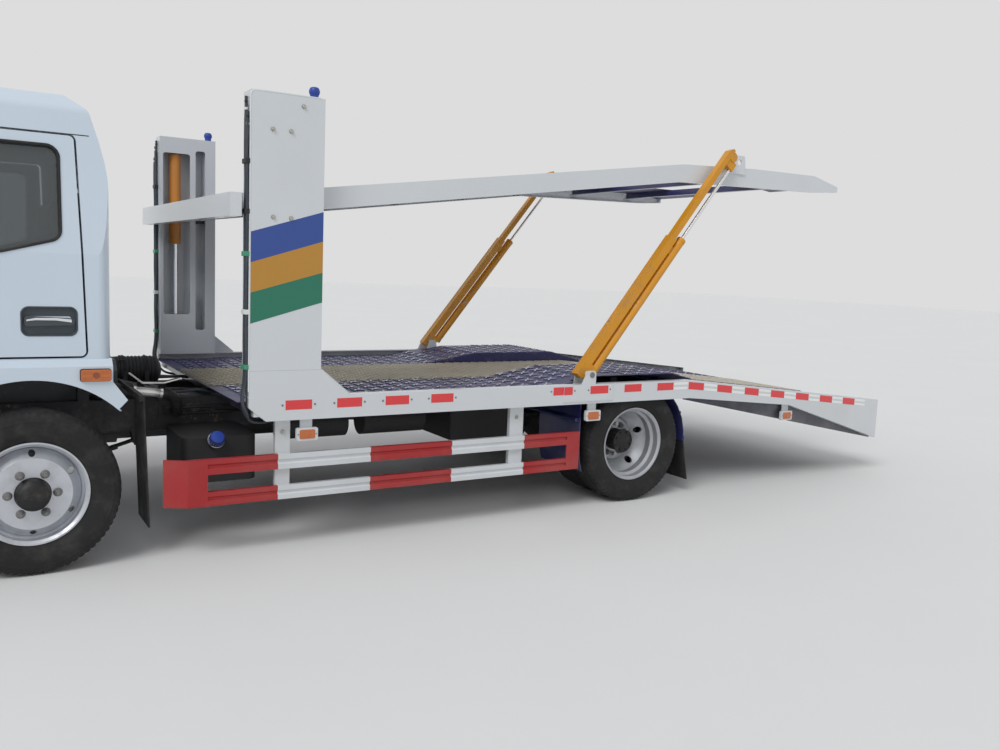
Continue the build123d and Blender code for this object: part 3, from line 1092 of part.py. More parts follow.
def front_bumper():
    """Wrap-round bumper with entry steps, carried on two arms from the frame."""
    plan = [(560, -1070), (860, -1070), (1010, -960), (FRONT_OVERHANG, -700), (FRONT_OVERHANG, 700), (1010, 960),
            (860, 1070), (560, 1070)]
    face = outline(plan, 60)
    outer = upward(face, BUMPER_BOTTOM_Z, BUMPER_TOP_Z)
    inner = upward(offset(face, amount=-32, kind=Kind.INTERSECTION), BUMPER_BOTTOM_Z - 1, BUMPER_TOP_Z + 1)
    back = block(500, 600, -1038, 1038, 300, 900)
    shell = outer - inner - back
    intake = along(outline([(-520, 400), (520, 400), (480, 540), (-480, 540)], 20), 900, 1100)
    shell = shell - intake
    pieces = [shell]
    for y_low, y_high in ((1038, 1070), (-1070, -1038)):
        pieces.append(block(560, 800, y_low, y_high, BUMPER_TOP_Z - 1, CAB_SILL_Z - 10))
    for side in (-1, 1):
        for z in (400, 620):
            low, high = sorted((side * 850, side * 1068))
            pieces.append(block(580, 800, low, high, z - 20, z))
        low, high = sorted((side * 850, side * 870))
        pieces.append(block(580, 800, low, high, 380, CAB_SILL_Z - 20))
        low, high = sorted((side * FRAME_HALF_WIDTH, side * (FRAME_HALF_WIDTH + 28)))
        pieces.append(block(760, FRONT_OVERHANG - 20, low, high, 530, 610))
        low, high = sorted((side * FRAME_HALF_WIDTH, side * 860))
        pieces.append(block(700, 740, low, high, 590, 620))
    bumper = fuse(pieces)
    for side in (-1, 1):
        low, high = sorted((side * 1030, side * 1080))
        bumper = bumper - block(610, 790, low, high, 420, 590)
        bumper = bumper - block(610, 790, low, high, 640, 760)
        low, high = sorted((side * 620, side * 1020))
        bumper = bumper - (block(900, 1100, low, high, 500, 640) & outer)
    return bumper


def headlamps():
    """Lamp units in the bumper's corners."""
    plan = [(560, -1070), (860, -1070), (1010, -960), (FRONT_OVERHANG, -700), (FRONT_OVERHANG, 700), (1010, 960),
            (860, 1070), (560, 1070)]
    face = outline(plan, 60)
    body = upward(offset(face, amount=-3), 500 + FIT, 640 - FIT) - upward(offset(face, amount=-60), 400, 700)
    lamp = body & block(900 + FIT, 1100, 620 + FIT, 1020 - FIT, 400, 700)
    return both_sides(lamp)


def ramp():
    """Loading ramp: side bars and rungs, stowed in the tail."""
    half = RAMP_WIDTH / 2
    drop = RAMP_DROP
    pieces = []
    for side in (-1, 1):
        edge = RAMP_Y + side * (half - 15)
        pieces.append(tail_block(6, RAMP_LENGTH, edge - 15, edge + 15, drop + RAMP_THICK, drop))
    for number in range(9):
        start = 30 + number * (RAMP_LENGTH - 80) / 8
        pieces.append(tail_block(start, start + 30, RAMP_Y - half + 10, RAMP_Y + half - 10, drop + RAMP_THICK - 10, drop + 8))
    return fuse(pieces)


def place(shape, station):
    """Move a wheel piece from the axle line's origin to its axle."""
    return Pos(at(station), 0, WHEEL_Z) * shape


def main():
    os.makedirs("parts", exist_ok=True)
    write("chassis_frame", [chassis_frame()])
    write("front_axle", front_axle())
    write("rear_axle", rear_axle())
    write("drivetrain", drivetrain())
    write("side_tanks", side_tanks())
    write("exhaust", exhaust())
    write("lower_deck_frame", [lower_deck_frame()])
    write("lower_tracks", lower_tracks())
    write("lower_mesh", [lower_mesh()])
    post = gate_post()
    write("gate_post_left", [post])
    write("gate_post_right", [other_side(post)])
    write("lift_rods", both_sides(lift_rod()))
    guard = side_guard()
    write("side_guard_left", [guard])
    write("side_guard_right", [other_side(guard)])
    write("mudguards", mudguards())
    write("mud_flaps", mud_flaps())
    write("marker_lamps", marker_lamps())
    write("tail_lamps", tail_lamps())
    write("front_bumper", [front_bumper()])
    write("headlamps", headlamps())
    write("lift_barrels", both_sides(lift_barrel()))
    write("lift_carriage", [lift_carriage()])
    write("upper_deck_frame", [upper_deck_frame()])
    write("upper_tracks", upper_tracks())
    for name, shape in (("sleeve", strut_sleeve()), ("arm", strut_arm()), ("rod", strut_rod())):
        write("strut_" + name + "_left", [shape])
        write("strut_" + name + "_right", [other_side(shape)])
    front_tyre, front_rim = front_wheel_parts()
    rear_tyres, rear_rim = rear_wheel_parts()
    for name, x, tyres, rim in (("front", 0, [front_tyre], front_rim), ("rear", -WHEELBASE, rear_tyres, rear_rim)):
        placed = [place(tyre, x) for tyre in tyres]
        write("tyre_" + name + "_left", placed)
        write("tyre_" + name + "_right", [other_side(tyre) for tyre in placed])
        placed_rim = place(rim, x)
        write("rim_" + name + "_left", [placed_rim])
        write("rim_" + name + "_right", [other_side(placed_rim)])
    left_knuckle = knuckle()
    write("knuckle_left", [left_knuckle])
    write("knuckle_right", [other_side(left_knuckle)])
    write("tie_rod", [tie_rod()])
    door, pane, opening = door_parts()
    write("door_left", [door])
    write("door_right", [other_side(door)])
    write("door_glass_left", [pane])
    write("door_glass_right", [other_side(pane)])
    write("cab_shell", [cab_shell(opening)])
    write("cab_roof", [cab_roof()])
    write("cab_glass", cab_glass())
    board, seats, steering = cab_interior()
    write("dashboard", [board])
    write("seats", seats)
    write("steering_wheel", [steering])
    write("grille", [grille()])
    write("mirrors", mirrors())
    left_ramp = ramp()
    write("ramp_left", [left_ramp])
    write("ramp_right", [other_side(left_ramp)])


main()
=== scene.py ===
"""Finishes, small parts and stage for a two-deck car carrier truck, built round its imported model."""

import json
import math
import random

import bmesh
import bpy
from bpy.props import FloatProperty, FloatVectorProperty, PointerProperty
from mathutils import Matrix, Vector
from mathutils.bvhtree import BVHTree


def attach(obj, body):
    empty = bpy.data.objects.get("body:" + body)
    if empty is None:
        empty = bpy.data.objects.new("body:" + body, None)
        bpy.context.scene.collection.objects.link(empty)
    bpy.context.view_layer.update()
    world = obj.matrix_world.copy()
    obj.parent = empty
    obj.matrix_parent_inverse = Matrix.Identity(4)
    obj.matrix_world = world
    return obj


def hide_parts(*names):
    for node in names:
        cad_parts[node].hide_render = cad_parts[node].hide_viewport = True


bl_info = {
    "name": "Car Carrier Truck Finish",
    "version": (1, 0, 0),
    "blender": (4, 5, 0),
    "location": "View3D > Sidebar > Carrier",
    "description": "Dresses the packed car carrier truck with its finishes, fittings and stage",
    "category": "Object",
}

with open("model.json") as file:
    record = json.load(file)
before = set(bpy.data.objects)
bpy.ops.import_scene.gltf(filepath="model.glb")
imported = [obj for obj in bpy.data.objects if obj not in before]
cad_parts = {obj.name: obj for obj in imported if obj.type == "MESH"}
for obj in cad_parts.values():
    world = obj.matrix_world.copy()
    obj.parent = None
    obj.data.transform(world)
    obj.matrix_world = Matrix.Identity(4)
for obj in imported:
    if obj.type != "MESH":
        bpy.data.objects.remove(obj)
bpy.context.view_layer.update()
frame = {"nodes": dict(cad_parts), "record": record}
NODES = frame["nodes"]

# Stations are measured forward from the front axle, in metres, as in the drawing of the truck
FRONT_AXLE_X = 2.7075
WHEEL_Z = 0.413
REAR_AXLE = -3.8
DECK_SIDE_Y = 1.232
DECK_TOP_Z = 0.866
FLOOR_TOP_Z = 0.827
KINK_X = -4.254
TAIL_X = -6.465
TAIL_TOP_Z = 0.628
POST_FRONT_X = -1.031
POST_REAR_X = -1.435
POST_TOP_Z = 2.485
UPPER_RAIL = ((-0.95, 1.951), (-4.19, 2.412), (-4.9, 2.444), (-5.59, 2.452), (-5.88, 2.387))
UPPER_DROP = 0.040
STRUT_FOOT = (-3.345, 0.930)
STRUT_HEAD = (-4.594, 2.493)
STRUT_Y = 1.150

# Thickness of films and tapes
SKIN = 0.0008
# Distance before or behind the front axle from which the cab's faces are looked for
FAR = 2.0

SIDES = (("left", 1), ("right", -1))
ALONG = Vector((1, 0, 0))
UP = Vector((0, 0, 1))


def at(station):
    """X in the model of a station measured from the front axle."""
    return FRONT_AXLE_X + station


def placed(points):
    """Points of the model for points given by station, Y and Z."""
    return [(at(x), y, z) for x, y, z in points]


def flank(sign, y, points):
    """Points in a plane along one side of the truck, given by station and Z."""
    return [(at(x), sign * y, z) for x, z in points]


def slide(start, end, share):
    """Value at a share of the way from start to end."""
    return start + (end - start) * share


def deck_line(station):
    """Height of the lower deck's rail top."""
    if station > KINK_X:
        return DECK_TOP_Z
    return DECK_TOP_Z - (DECK_TOP_Z - TAIL_TOP_Z) * (KINK_X - station) / (KINK_X - TAIL_X)


def upper_line(station):
    """Height of the upper deck's rail top."""
    for (x0, z0), (x1, z1) in zip(UPPER_RAIL, UPPER_RAIL[1:]):
        if x1 <= station <= x0:
            return z0 + (z1 - z0) * (station - x0) / (x1 - x0)
    return UPPER_RAIL[0][1]


class Sock:
    """One node output; arithmetic on it adds Math nodes to its tree."""

    def __init__(self, recipe, socket):
        self.recipe = recipe
        self.socket = socket

    def math(self, operation, first, second=0.0):
        """A Math node on two values, either of which may be a socket."""
        return self.recipe.node("ShaderNodeMath", {"operation": operation}, {0: first, 1: second})

    def __add__(self, other):
        return self.math("ADD", self, other)

    def __radd__(self, other):
        return self.math("ADD", other, self)

    def __sub__(self, other):
        return self.math("SUBTRACT", self, other)

    def __rsub__(self, other):
        return self.math("SUBTRACT", other, self)

    def __mul__(self, other):
        return self.math("MULTIPLY", self, other)

    def __rmul__(self, other):
        return self.math("MULTIPLY", other, self)

    def __gt__(self, other):
        return self.math("GREATER_THAN", self, other)

    def __lt__(self, other):
        return self.math("LESS_THAN", self, other)

    def least(self, other):
        """The smaller of two values."""
        return self.math("MINIMUM", self, other)

    def size(self):
        """Absolute value."""
        return self.math("ABSOLUTE", self)

    def sine(self):
        """Sine of the value."""
        return self.math("SINE", self)


class Recipe:
    """A node material under construction."""

    def __init__(self, name):
        self.material = bpy.data.materials.new(name)
        self.material.use_nodes = True
        self.tree = self.material.node_tree
        self.shader = self.tree.nodes["Principled BSDF"]
        self.place = self.node("ShaderNodeTexCoord", out="Object")

    def node(self, kind, settings=None, inputs=None, out=0):
        """Adds a node: settings first, then values or links for its sockets."""
        made = self.tree.nodes.new(kind)
        for key, value in (settings or {}).items():
            setattr(made, key, value)
        for key, value in (inputs or {}).items():
            self.link(made.inputs[key], value)
        return Sock(self, made.outputs[out])

    def link(self, socket, value):
        """Feeds a socket from another node, or sets it to a number or colour."""
        if isinstance(value, Sock):
            self.tree.links.new(value.socket, socket)
        elif isinstance(value, tuple) and len(value) == 3 and socket.type == "RGBA":
            socket.default_value = (*value, 1.0)
        else:
            socket.default_value = value

    def noise(self, scale, detail=3.0, rough=0.55, stretch=None):
        """Noise of the object's own space; stretch squeezes it along the axes."""
        vector = self.place
        if stretch:
            vector = self.node("ShaderNodeMapping", {}, {"Vector": vector, "Scale": stretch})
        inputs = {"Vector": vector, "Scale": scale, "Detail": detail, "Roughness": rough}
        return self.node("ShaderNodeTexNoise", {}, inputs, out="Fac")

    def cells(self, feature, scale):
        """Distance within Voronoi cells of the object's own space."""
        inputs = {"Vector": self.place, "Scale": scale}
        return self.node("ShaderNodeTexVoronoi", {"feature": feature}, inputs, out="Distance")

    def axis(self, letter):
        """One coordinate of the object's own space."""
        return self.node("ShaderNodeSeparateXYZ", {}, {0: self.place}, out=letter)

    def ease(self, value, low, high):
        """Smooth step of a value from 0 at low to 1 at high."""
        settings = {"interpolation_type": "SMOOTHSTEP"}
        return self.node("ShaderNodeMapRange", settings, {0: value, 1: low, 2: high, 3: 0.0, 4: 1.0})

    def mix(self, first, second, mask):
        """Colour that goes from first to second as mask goes from 0 to 1."""
        inputs = {"Factor": mask, 6: first, 7: second}
        return self.node("ShaderNodeMix", {"data_type": "RGBA"}, inputs, out=2)

    def relief(self, height, depth, strength):
        """Bump from a height; depth is the size of the steps in metres."""
        inputs = {"Height": height, "Distance": depth, "Strength": strength}
        self.link(self.shader.inputs["Normal"], self.node("ShaderNodeBump", {}, inputs, out="Normal"))

    def done(self, **sockets):
        """Sets the shader's sockets, named with underscores for spaces."""
        for key, value in sockets.items():
            self.link(self.shader.inputs[key.replace("_", " ")], value)
        return self.material


def shade(colour, factor):
    """The same colour, lighter or darker."""
    return tuple(min(1.0, c * factor) for c in colour)


def sheet_paint(name, colour, rough, coat, dust, low=0.3, high=1.3, inner=None):
    """Sprayed paint on sheet steel: faint orange peel, dust that gathers low down, handling marks.

    inner is a second colour with the half width, top and front of the box that it fills.
    """
    r = Recipe(name)
    height = r.axis("Z")
    cloud = r.noise(2.3, 5.0, 0.6)
    grime = (1.0 - r.ease(height, low, high)) * r.ease(cloud, 0.35, 0.75) * dust
    streak = r.ease(r.noise(6.0, 4.0, 0.6, (1.0, 1.0, 0.12)), 0.56, 0.78) * 0.16 * dust
    marks = r.ease(r.noise(38.0, 4.0, 0.7), 0.62, 0.8) * 0.12
    tone = r.mix(shade(colour, 0.95), shade(colour, 1.04), cloud)
    # The inner colour fills a box inside the rails: two-tone paint on the upper frame, painted shade on the
    # lower frame
    if inner:
        second, half_width, top, front = inner
        within = (r.axis("Y").size() < half_width) * (height < top) * (r.axis("X") < front)
        tone = r.mix(tone, r.mix(shade(second, 0.8), shade(second, 1.15), cloud), within)
    dirty = tuple(0.45 * c + 0.55 * d for c, d in zip(colour, (0.30, 0.26, 0.21)))
    base = r.mix(tone, dirty, (grime + streak).least(0.85))
    r.relief(r.noise(260.0, 2.0, 0.5), 0.00025, 0.35)
    return r.done(Base_Color=base, Roughness=(rough + grime * 0.4 + marks).least(0.9), Coat_Weight=coat,
                  Coat_Roughness=0.12)


def worn_paint(name, colour, rough, bare, amount):
    """Paint on rolled steel with chips down to metal and soft dirt."""
    r = Recipe(name)
    fine = r.noise(55.0, 6.0, 0.7)
    broad = r.noise(4.0, 4.0, 0.6)
    chips = r.ease(fine * broad, 0.36 - 0.06 * amount, 0.40 - 0.06 * amount)
    tone = r.mix(shade(colour, 0.86), shade(colour, 1.08), broad)
    soil = r.ease(r.noise(9.0, 5.0, 0.65), 0.5, 0.78) * 0.35
    base = r.mix(r.mix(tone, bare, chips), (0.23, 0.2, 0.17), soil)
    r.relief(fine * 0.5 + r.noise(180.0, 2.0) * 0.5, 0.0004, 0.4)
    return r.done(Base_Color=base, Roughness=rough + soil * 0.5 + fine * 0.12, Metallic=chips * 0.8)


def bright_metal(name, colour, rough, streak, dirt):
    """Bare or plated metal with fine drawn lines and smudges."""
    r = Recipe(name)
    lines = r.noise(140.0, 3.0, 0.6, streak)
    dull = r.ease(r.noise(7.0, 5.0, 0.6), 0.45, 0.8) * dirt
    base = r.mix(colour, shade(colour, 0.55), dull)
    r.relief(lines, 0.0002, 0.3)
    return r.done(Base_Color=base, Metallic=1.0, Roughness=rough + lines * 0.1 + dull * 0.35)


def wheel_paint(name, colour):
    """Silver wheel enamel with brake dust in the hollows and a few specks."""
    r = Recipe(name)
    dustiness = r.ease(r.noise(11.0, 5.0, 0.65), 0.4, 0.8)
    speck = r.ease(r.noise(160.0, 2.0, 0.6), 0.66, 0.74) * 0.5
    base = r.mix(colour, (0.20, 0.19, 0.18), (dustiness * 0.28 + speck).least(1.0))
    r.relief(r.noise(300.0, 2.0), 0.0002, 0.25)
    return r.done(Base_Color=base, Metallic=0.55, Roughness=0.34 + dustiness * 0.18, Coat_Weight=0.2)


def rubber(name, colour, rough, dust, grain=220.0):
    """Rubber with fine grain and pale road dust."""
    r = Recipe(name)
    cloud = r.ease(r.noise(8.0, 5.0, 0.65), 0.42, 0.75)
    fine = r.noise(grain, 3.0, 0.6)
    base = r.mix(colour, (0.16, 0.145, 0.125), cloud * dust)
    r.relief(fine, 0.0004, 0.5)
    return r.done(Base_Color=base, Roughness=rough + fine * 0.12 - cloud * 0.05)


def moulded(name, colour, rough, grain=150.0):
    """Moulded plastic with a leather-like grain and uneven gloss."""
    r = Recipe(name)
    grains = r.cells("F1", grain)
    cloud = r.noise(5.0, 4.0, 0.6)
    base = r.mix(shade(colour, 0.85), shade(colour, 1.15), cloud)
    r.relief(grains, 0.0004, 0.4)
    return r.done(Base_Color=base, Roughness=rough + cloud * 0.15)


def lens(name, colour):
    """Ribbed coloured lens."""
    r = Recipe(name)
    ribs = (r.axis("X") * 900.0).sine() * 0.5 + 0.5
    depth = r.noise(14.0, 2.0)
    base = r.mix(shade(colour, 0.75), shade(colour, 1.2), ribs * 0.6 + depth * 0.4)
    r.relief(ribs, 0.0006, 0.6)
    return r.done(Base_Color=base, Roughness=0.12 + depth * 0.05, Coat_Weight=0.8, Emission_Color=base,
                  Emission_Strength=0.08)


def glazing(name, tint):
    """Safety glass: tinted, glossy, faintly dusty in soft patches."""
    r = Recipe(name)
    film = r.ease(r.noise(3.0, 4.0, 0.6), 0.5, 0.85)
    base = r.mix(tint, (0.35, 0.35, 0.34), film * 0.15)
    return r.done(Base_Color=base, Roughness=0.04 + film * 0.08, IOR=1.5, Transmission_Weight=0.82,
                  Coat_Weight=0.3)


def tape(name, colour):
    """Reflective tape with a honeycomb of cells under its clear film."""
    r = Recipe(name)
    wall = 1.0 - r.ease(r.cells("DISTANCE_TO_EDGE", 260.0), 0.02, 0.09)
    scuff = r.ease(r.noise(30.0, 4.0, 0.7), 0.55, 0.8)
    base = r.mix(r.mix(colour, shade(colour, 1.25), wall * 0.5), shade(colour, 0.6), scuff * 0.4)
    r.relief(wall, 0.0002, 0.4)
    return r.done(Base_Color=base, Roughness=0.22 + scuff * 0.3, Coat_Weight=0.6)


def cloth(name, colour):
    """Woven seat cloth with two thread directions."""
    r = Recipe(name)
    threads = 2600.0
    warp = (r.axis("Y") * threads).sine() * 0.5 + 0.5
    weft = (r.axis("Z") * threads + r.axis("X") * threads).sine() * 0.5 + 0.5
    weave = warp * weft
    base = r.mix(shade(colour, 0.7), shade(colour, 1.35), weave * 0.7 + r.noise(40.0, 3.0) * 0.3)
    r.relief(weave, 0.0006, 0.6)
    return r.done(Base_Color=base, Roughness=0.88 + weave * 0.08)


PAINTS = {}
EVEN = (1.0, 1.0, 1.0)
ALONG_X = (0.2, 1.0, 1.0)
ALONG_Y = (1.0, 0.2, 1.0)
FLUTED = (1.0, 6.0, 0.2)
OPEN = 99.0


def make_finishes(look):
    """All of the truck's materials, from the colours in the panel."""
    cab, white, blue = tuple(look.cab_white), tuple(look.body_white), tuple(look.deck_blue)
    # The lower frame's inside below the rail top is near-black navy: its blue paint darkened as painted shade
    lower_inside_shade = ((0.012, 0.013, 0.038), 1.1721, 0.83, OPEN)
    upper_inside = (blue, 1.03, OPEN, at(-1.0))
    PAINTS.update(
        cab_white=sheet_paint("cab_white_gloss", cab, 0.22, 0.6, 0.25, 0.5, 1.4),
        body_white=sheet_paint("body_white_gloss", white, 0.3, 0.4, 0.3),
        bumper_white=sheet_paint("bumper_white_gloss", cab, 0.3, 0.4, 0.5),
        lower_frame=sheet_paint("lower_frame_white_and_painted_shade", white, 0.3, 0.4, 0.3, inner=lower_inside_shade),
        upper_frame=sheet_paint("upper_frame_two_tone", white, 0.3, 0.4, 0.2, inner=upper_inside),
        deck_blue=worn_paint("deck_blue_satin", blue, 0.34, (0.2, 0.2, 0.24), 0.2),
        grip_worn=bright_metal("grip_worn_steel", (0.50, 0.50, 0.62), 0.16, EVEN, 0.5),
        # The plate under the centre strip is dark brown-grey: painted shade under the open mesh, with soil
        # and chips over it
        mesh_plate=worn_paint("mesh_plate_shade_and_soil", (0.10, 0.088, 0.075), 0.5, (0.35, 0.32, 0.28), 0.5),
        frame_black=worn_paint("frame_black_satin", (0.022, 0.022, 0.026), 0.5, (0.2, 0.17, 0.14), 0.4),
        guard_red=sheet_paint("guard_red_gloss", tuple(look.guard_red), 0.34, 0.12, 0.3),
        guard_white=sheet_paint("guard_white_gloss", white, 0.3, 0.4, 0.4),
        arm_yellow=worn_paint("arm_yellow_gloss", tuple(look.arm_yellow), 0.3, (0.35, 0.3, 0.25), 0.15),
        cylinder_orange=worn_paint("cylinder_orange_gloss", (0.72, 0.28, 0.05), 0.32, (0.4, 0.36, 0.3), 0.1),
        chrome_rod=bright_metal("chrome_rod_polished", (0.82, 0.83, 0.85), 0.13, EVEN, 0.03),
        wheel_silver=wheel_paint("wheel_silver_enamel", (0.60, 0.62, 0.66)),
        # The rear rims get a darker copy of the silver wheel enamel: painted shade
        wheel_dull=wheel_paint("wheel_dull_enamel", (0.44, 0.455, 0.48)),
        steel_mesh=bright_metal("steel_mesh_galvanised", (0.72, 0.67, 0.57), 0.36, ALONG_Y, 0.35),
        ramp_steel=bright_metal("ramp_steel_galvanised", (0.45, 0.45, 0.46), 0.45, ALONG_X, 0.5),
        axle_iron=worn_paint("axle_iron_black", (0.03, 0.03, 0.033), 0.6, (0.22, 0.17, 0.13), 0.6),
        engine_iron=worn_paint("engine_iron_cast", (0.13, 0.13, 0.135), 0.62, (0.3, 0.27, 0.24), 0.6),
        tank_black=moulded("tank_black_moulded", (0.02, 0.02, 0.022), 0.55, 90.0),
        # Tyre rubber is set darker than black rubber is: black rubber with painted shade
        tyre_rubber=rubber("tyre_rubber_dusty", (0.012, 0.012, 0.013), 0.8, 0.16),
        flap_rubber=rubber("flap_rubber_plain", (0.012, 0.012, 0.013), 0.7, 0.3, 120.0),
        # The mudguards' blue is darkened to near navy: blue paint with painted shade
        guard_blue=sheet_paint("mudguard_blue_gloss_painted_shade", (0.013, 0.02, 0.12), 0.3, 0.3, 0.6),
        lamp_amber=lens("lamp_amber_ribbed", (0.50, 0.125, 0.018)),
        # A darker copy of the amber lens, for the repeater's screw boss: painted shade
        lamp_amber_deep=lens("lamp_amber_deep_ribbed", (0.24, 0.045, 0.008)),
        lamp_glass=bright_metal("lamp_glass_fluted", (0.62, 0.65, 0.68), 0.06, FLUTED, 0.1),
        lamp_red=lens("lamp_red_ribbed", (0.55, 0.02, 0.02)),
        lamp_clear=bright_metal("lamp_clear_reflector", (0.85, 0.87, 0.9), 0.1, EVEN, 0.1),
        cab_glazing=glazing("cab_glazing_tinted", (0.27, 0.30, 0.31)),
        dash_plastic=moulded("dash_plastic_grained", (0.06, 0.06, 0.065), 0.6),
        seat_cloth=cloth("seat_cloth_woven", (0.09, 0.10, 0.13)),
        trim_black=moulded("trim_black_moulded", (0.016, 0.016, 0.018), 0.48, 180.0),
        seal_black=rubber("seal_black_rubber", (0.01, 0.01, 0.01), 0.6, 0.15, 300.0),
        bolt_zinc=bright_metal("bolt_zinc_plated", (0.5, 0.49, 0.45), 0.35, EVEN, 0.4),
        stripe_blue=sheet_paint("stripe_blue_film", tuple(look.stripe_blue), 0.28, 0.5, 0.1),
        stripe_ochre=sheet_paint("stripe_ochre_film", tuple(look.stripe_ochre), 0.28, 0.5, 0.1),
        stripe_green=sheet_paint("stripe_green_film", tuple(look.stripe_green), 0.28, 0.5, 0.1),
        tape_red=tape("tape_red_cells", (0.72, 0.03, 0.035)),
        tape_white=tape("tape_white_cells", (0.86, 0.86, 0.84)),
        lamp_holder=sheet_paint("lamp_holder_white", white, 0.35, 0.3, 0.4),
        hose_black=rubber("hose_black_cover", (0.014, 0.014, 0.015), 0.55, 0.2, 400.0),
        hub_black=worn_paint("hub_black_satin", (0.006, 0.006, 0.007), 0.46, (0.05, 0.05, 0.05), 0.1),
        nut_grey=worn_paint("nut_grey_dull", (0.19, 0.19, 0.185), 0.36, (0.3, 0.28, 0.25), 0.4),
        pipe_aluminium=bright_metal("pipe_aluminium_brushed", (0.74, 0.74, 0.72), 0.24, ALONG_X, 0.3),
        hose_blue_grey=rubber("hose_blue_grey_cover", (0.035, 0.045, 0.06), 0.42, 0.25, 400.0),
        clip_green=moulded("clip_green_plastic", (0.05, 0.30, 0.16), 0.4, 200.0),
        clip_white=moulded("clip_white_plastic", (0.75, 0.76, 0.74), 0.4, 200.0),
        knob_blue=moulded("knob_blue_plastic", (0.022, 0.06, 0.34), 0.35, 200.0),
        handle_grey=moulded("handle_grey_plastic", (0.055, 0.068, 0.08), 0.4, 260.0),
        hose_ribbed=rubber("hose_ribbed_cover", (0.012, 0.012, 0.013), 0.5, 0.3, 300.0),
    )


def finish_mesh(name, bm, paint, body, smooth=False, bevel=0.0, slot=None, segments=2):
    """Turns a bmesh into a piece that rides on a body."""
    bmesh.ops.recalc_face_normals(bm, faces=bm.faces)
    piece = link_mesh(name, bm)
    for key in [paint] if isinstance(paint, str) else paint:
        piece.data.materials.append(PAINTS[key])
    if smooth:
        piece.data.shade_smooth()
        piece.data.set_sharp_from_angle(angle=math.radians(38))
    if bevel:
        cut = piece.modifiers.new("edge", "BEVEL")
        cut.width = bevel
        cut.segments = segments
        cut.limit_method = "ANGLE"
        cut.angle_limit = math.radians(35)
    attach(piece, body)
    return piece


def each_side(name, paint, body, draw, smooth=True, **finish):
    """The same piece on both sides of the truck; a body whose name ends in _ is one of a pair too."""
    for side, sign in SIDES:
        bm = bmesh.new()
        draw(bm, sign)
        finish_mesh(name + side, bm, paint, body + side if body.endswith("_") else body, smooth, **finish)


def link_mesh(name, bm):
    """A new object in the scene from a bmesh."""
    mesh = bpy.data.meshes.new(name)
    bm.to_mesh(mesh)
    bm.free()
    piece = bpy.data.objects.new(name, mesh)
    bpy.context.scene.collection.objects.link(piece)
    return piece


def add_box(bm, low, high, index=0):
    """Box between two corners."""
    low, high = Vector(low), Vector(high)
    centre, span = (low + high) / 2, high - low
    for vert in bmesh.ops.create_cube(bm, size=1.0)["verts"]:
        vert.co = Vector([centre[i] + vert.co[i] * span[i] for i in range(3)])
        for face in vert.link_faces:
            face.material_index = index


def add_prism(bm, points, offset, index=0):
    """Flat outline run along a vector."""
    near = [bm.verts.new(p) for p in points]
    far = [bm.verts.new(Vector(p) + Vector(offset)) for p in points]
    bm.faces.new(near).material_index = index
    bm.faces.new(far[::-1]).material_index = index
    join_rings(bm, near, far, index)


def add_circle(bm, middle, side, other, radius, count):
    """Ring of vertices in the plane of two directions."""
    ring = []
    for k in range(count):
        a = 2 * math.pi * k / count
        ring.append(bm.verts.new(middle + side * (math.cos(a) * radius) + other * (math.sin(a) * radius)))
    return ring


def join_rings(bm, first, second, index=0):
    """Faces between two rings, either of which may be a single point."""
    count = max(len(first), len(second))
    for k in range(count):
        steps = (k, (k + 1) % count)
        corners = [first[i % len(first)] for i in steps] + [second[i % len(second)] for i in steps[::-1]]
        bm.faces.new(list(dict.fromkeys(corners))).material_index = index


def add_lathe(bm, centre, axis, profile, count=32, index=0, closed=False):
    """Profile of (along, radius) pairs turned about an axis."""
    axis = Vector(axis).normalized()
    side = axis.orthogonal().normalized()
    other = axis.cross(side)
    rings = []
    for along, radius in profile:
        middle = Vector(centre) + axis * along
        rings.append(add_circle(bm, middle, side, other, radius, count) if radius else [bm.verts.new(middle)])
    for first, second in zip(rings, rings[1:]):
        join_rings(bm, first, second, index)
    if closed:
        join_rings(bm, rings[-1], rings[0], index)


def add_tube(bm, points, radius, count=10, index=0):
    """Round tube along a run of points; several radii make it ribbed."""
    path = [Vector(p) for p in points]
    radii = radius if isinstance(radius, tuple) else (radius,)
    rings = []
    side = None
    for i, point in enumerate(path):
        ahead = path[min(i + 1, len(path) - 1)] - path[max(i - 1, 0)]
        ahead.normalize()
        if side is None:
            side = ahead.orthogonal().normalized()
        side = (side - ahead * side.dot(ahead)).normalized()
        rings.append(add_circle(bm, point, side, ahead.cross(side), radii[i % len(radii)], count))
    for first, second in zip(rings, rings[1:]):
        join_rings(bm, first, second, index)
    bm.faces.new(rings[0][::-1]).material_index = index
    bm.faces.new(rings[-1]).material_index = index


def add_ring(bm, points, radius, count=8):
    """Round tube along a closed run of points."""
    add_tube(bm, [*points, points[0], points[1]], radius, count)


def curve_points(points, steps):
    """Smooth run through control points (Catmull-Rom)."""
    pts = [Vector(p) for p in points]
    pts = [pts[0] * 2 - pts[1], *pts, pts[-1] * 2 - pts[-2]]
    run = []
    for a, b, c, d in zip(pts, pts[1:], pts[2:], pts[3:]):
        for k in range(steps):
            t = k / steps
            run.append(0.5 * (2 * b + (c - a) * t + (2 * a - 5 * b + 4 * c - d) * t ** 2
                              + (3 * b - a - 3 * c + d) * t ** 3))
    return [*run, pts[-2]]


def add_bolt(bm, centre, axis, size, nut=False):
    """Hexagon head on a washer, with a chamfered crown, and the nut's stud end where it shows."""
    top = size * 0.95
    washer = size * 1.25
    add_lathe(bm, centre, axis, [(0, 0), (0, washer), (size * 0.22, washer), (size * 0.22, 0)], 20)
    add_lathe(bm, centre, axis, [(size * 0.2, 0), (size * 0.2, size), (top, size), (top * 1.18, size * 0.82),
                                 (top * 1.18, 0)], 6)
    if nut:
        end = top * 1.75
        add_lathe(bm, centre, axis, [(top, 0), (top, size * 0.55), (end, size * 0.5), (end, 0)], 14)


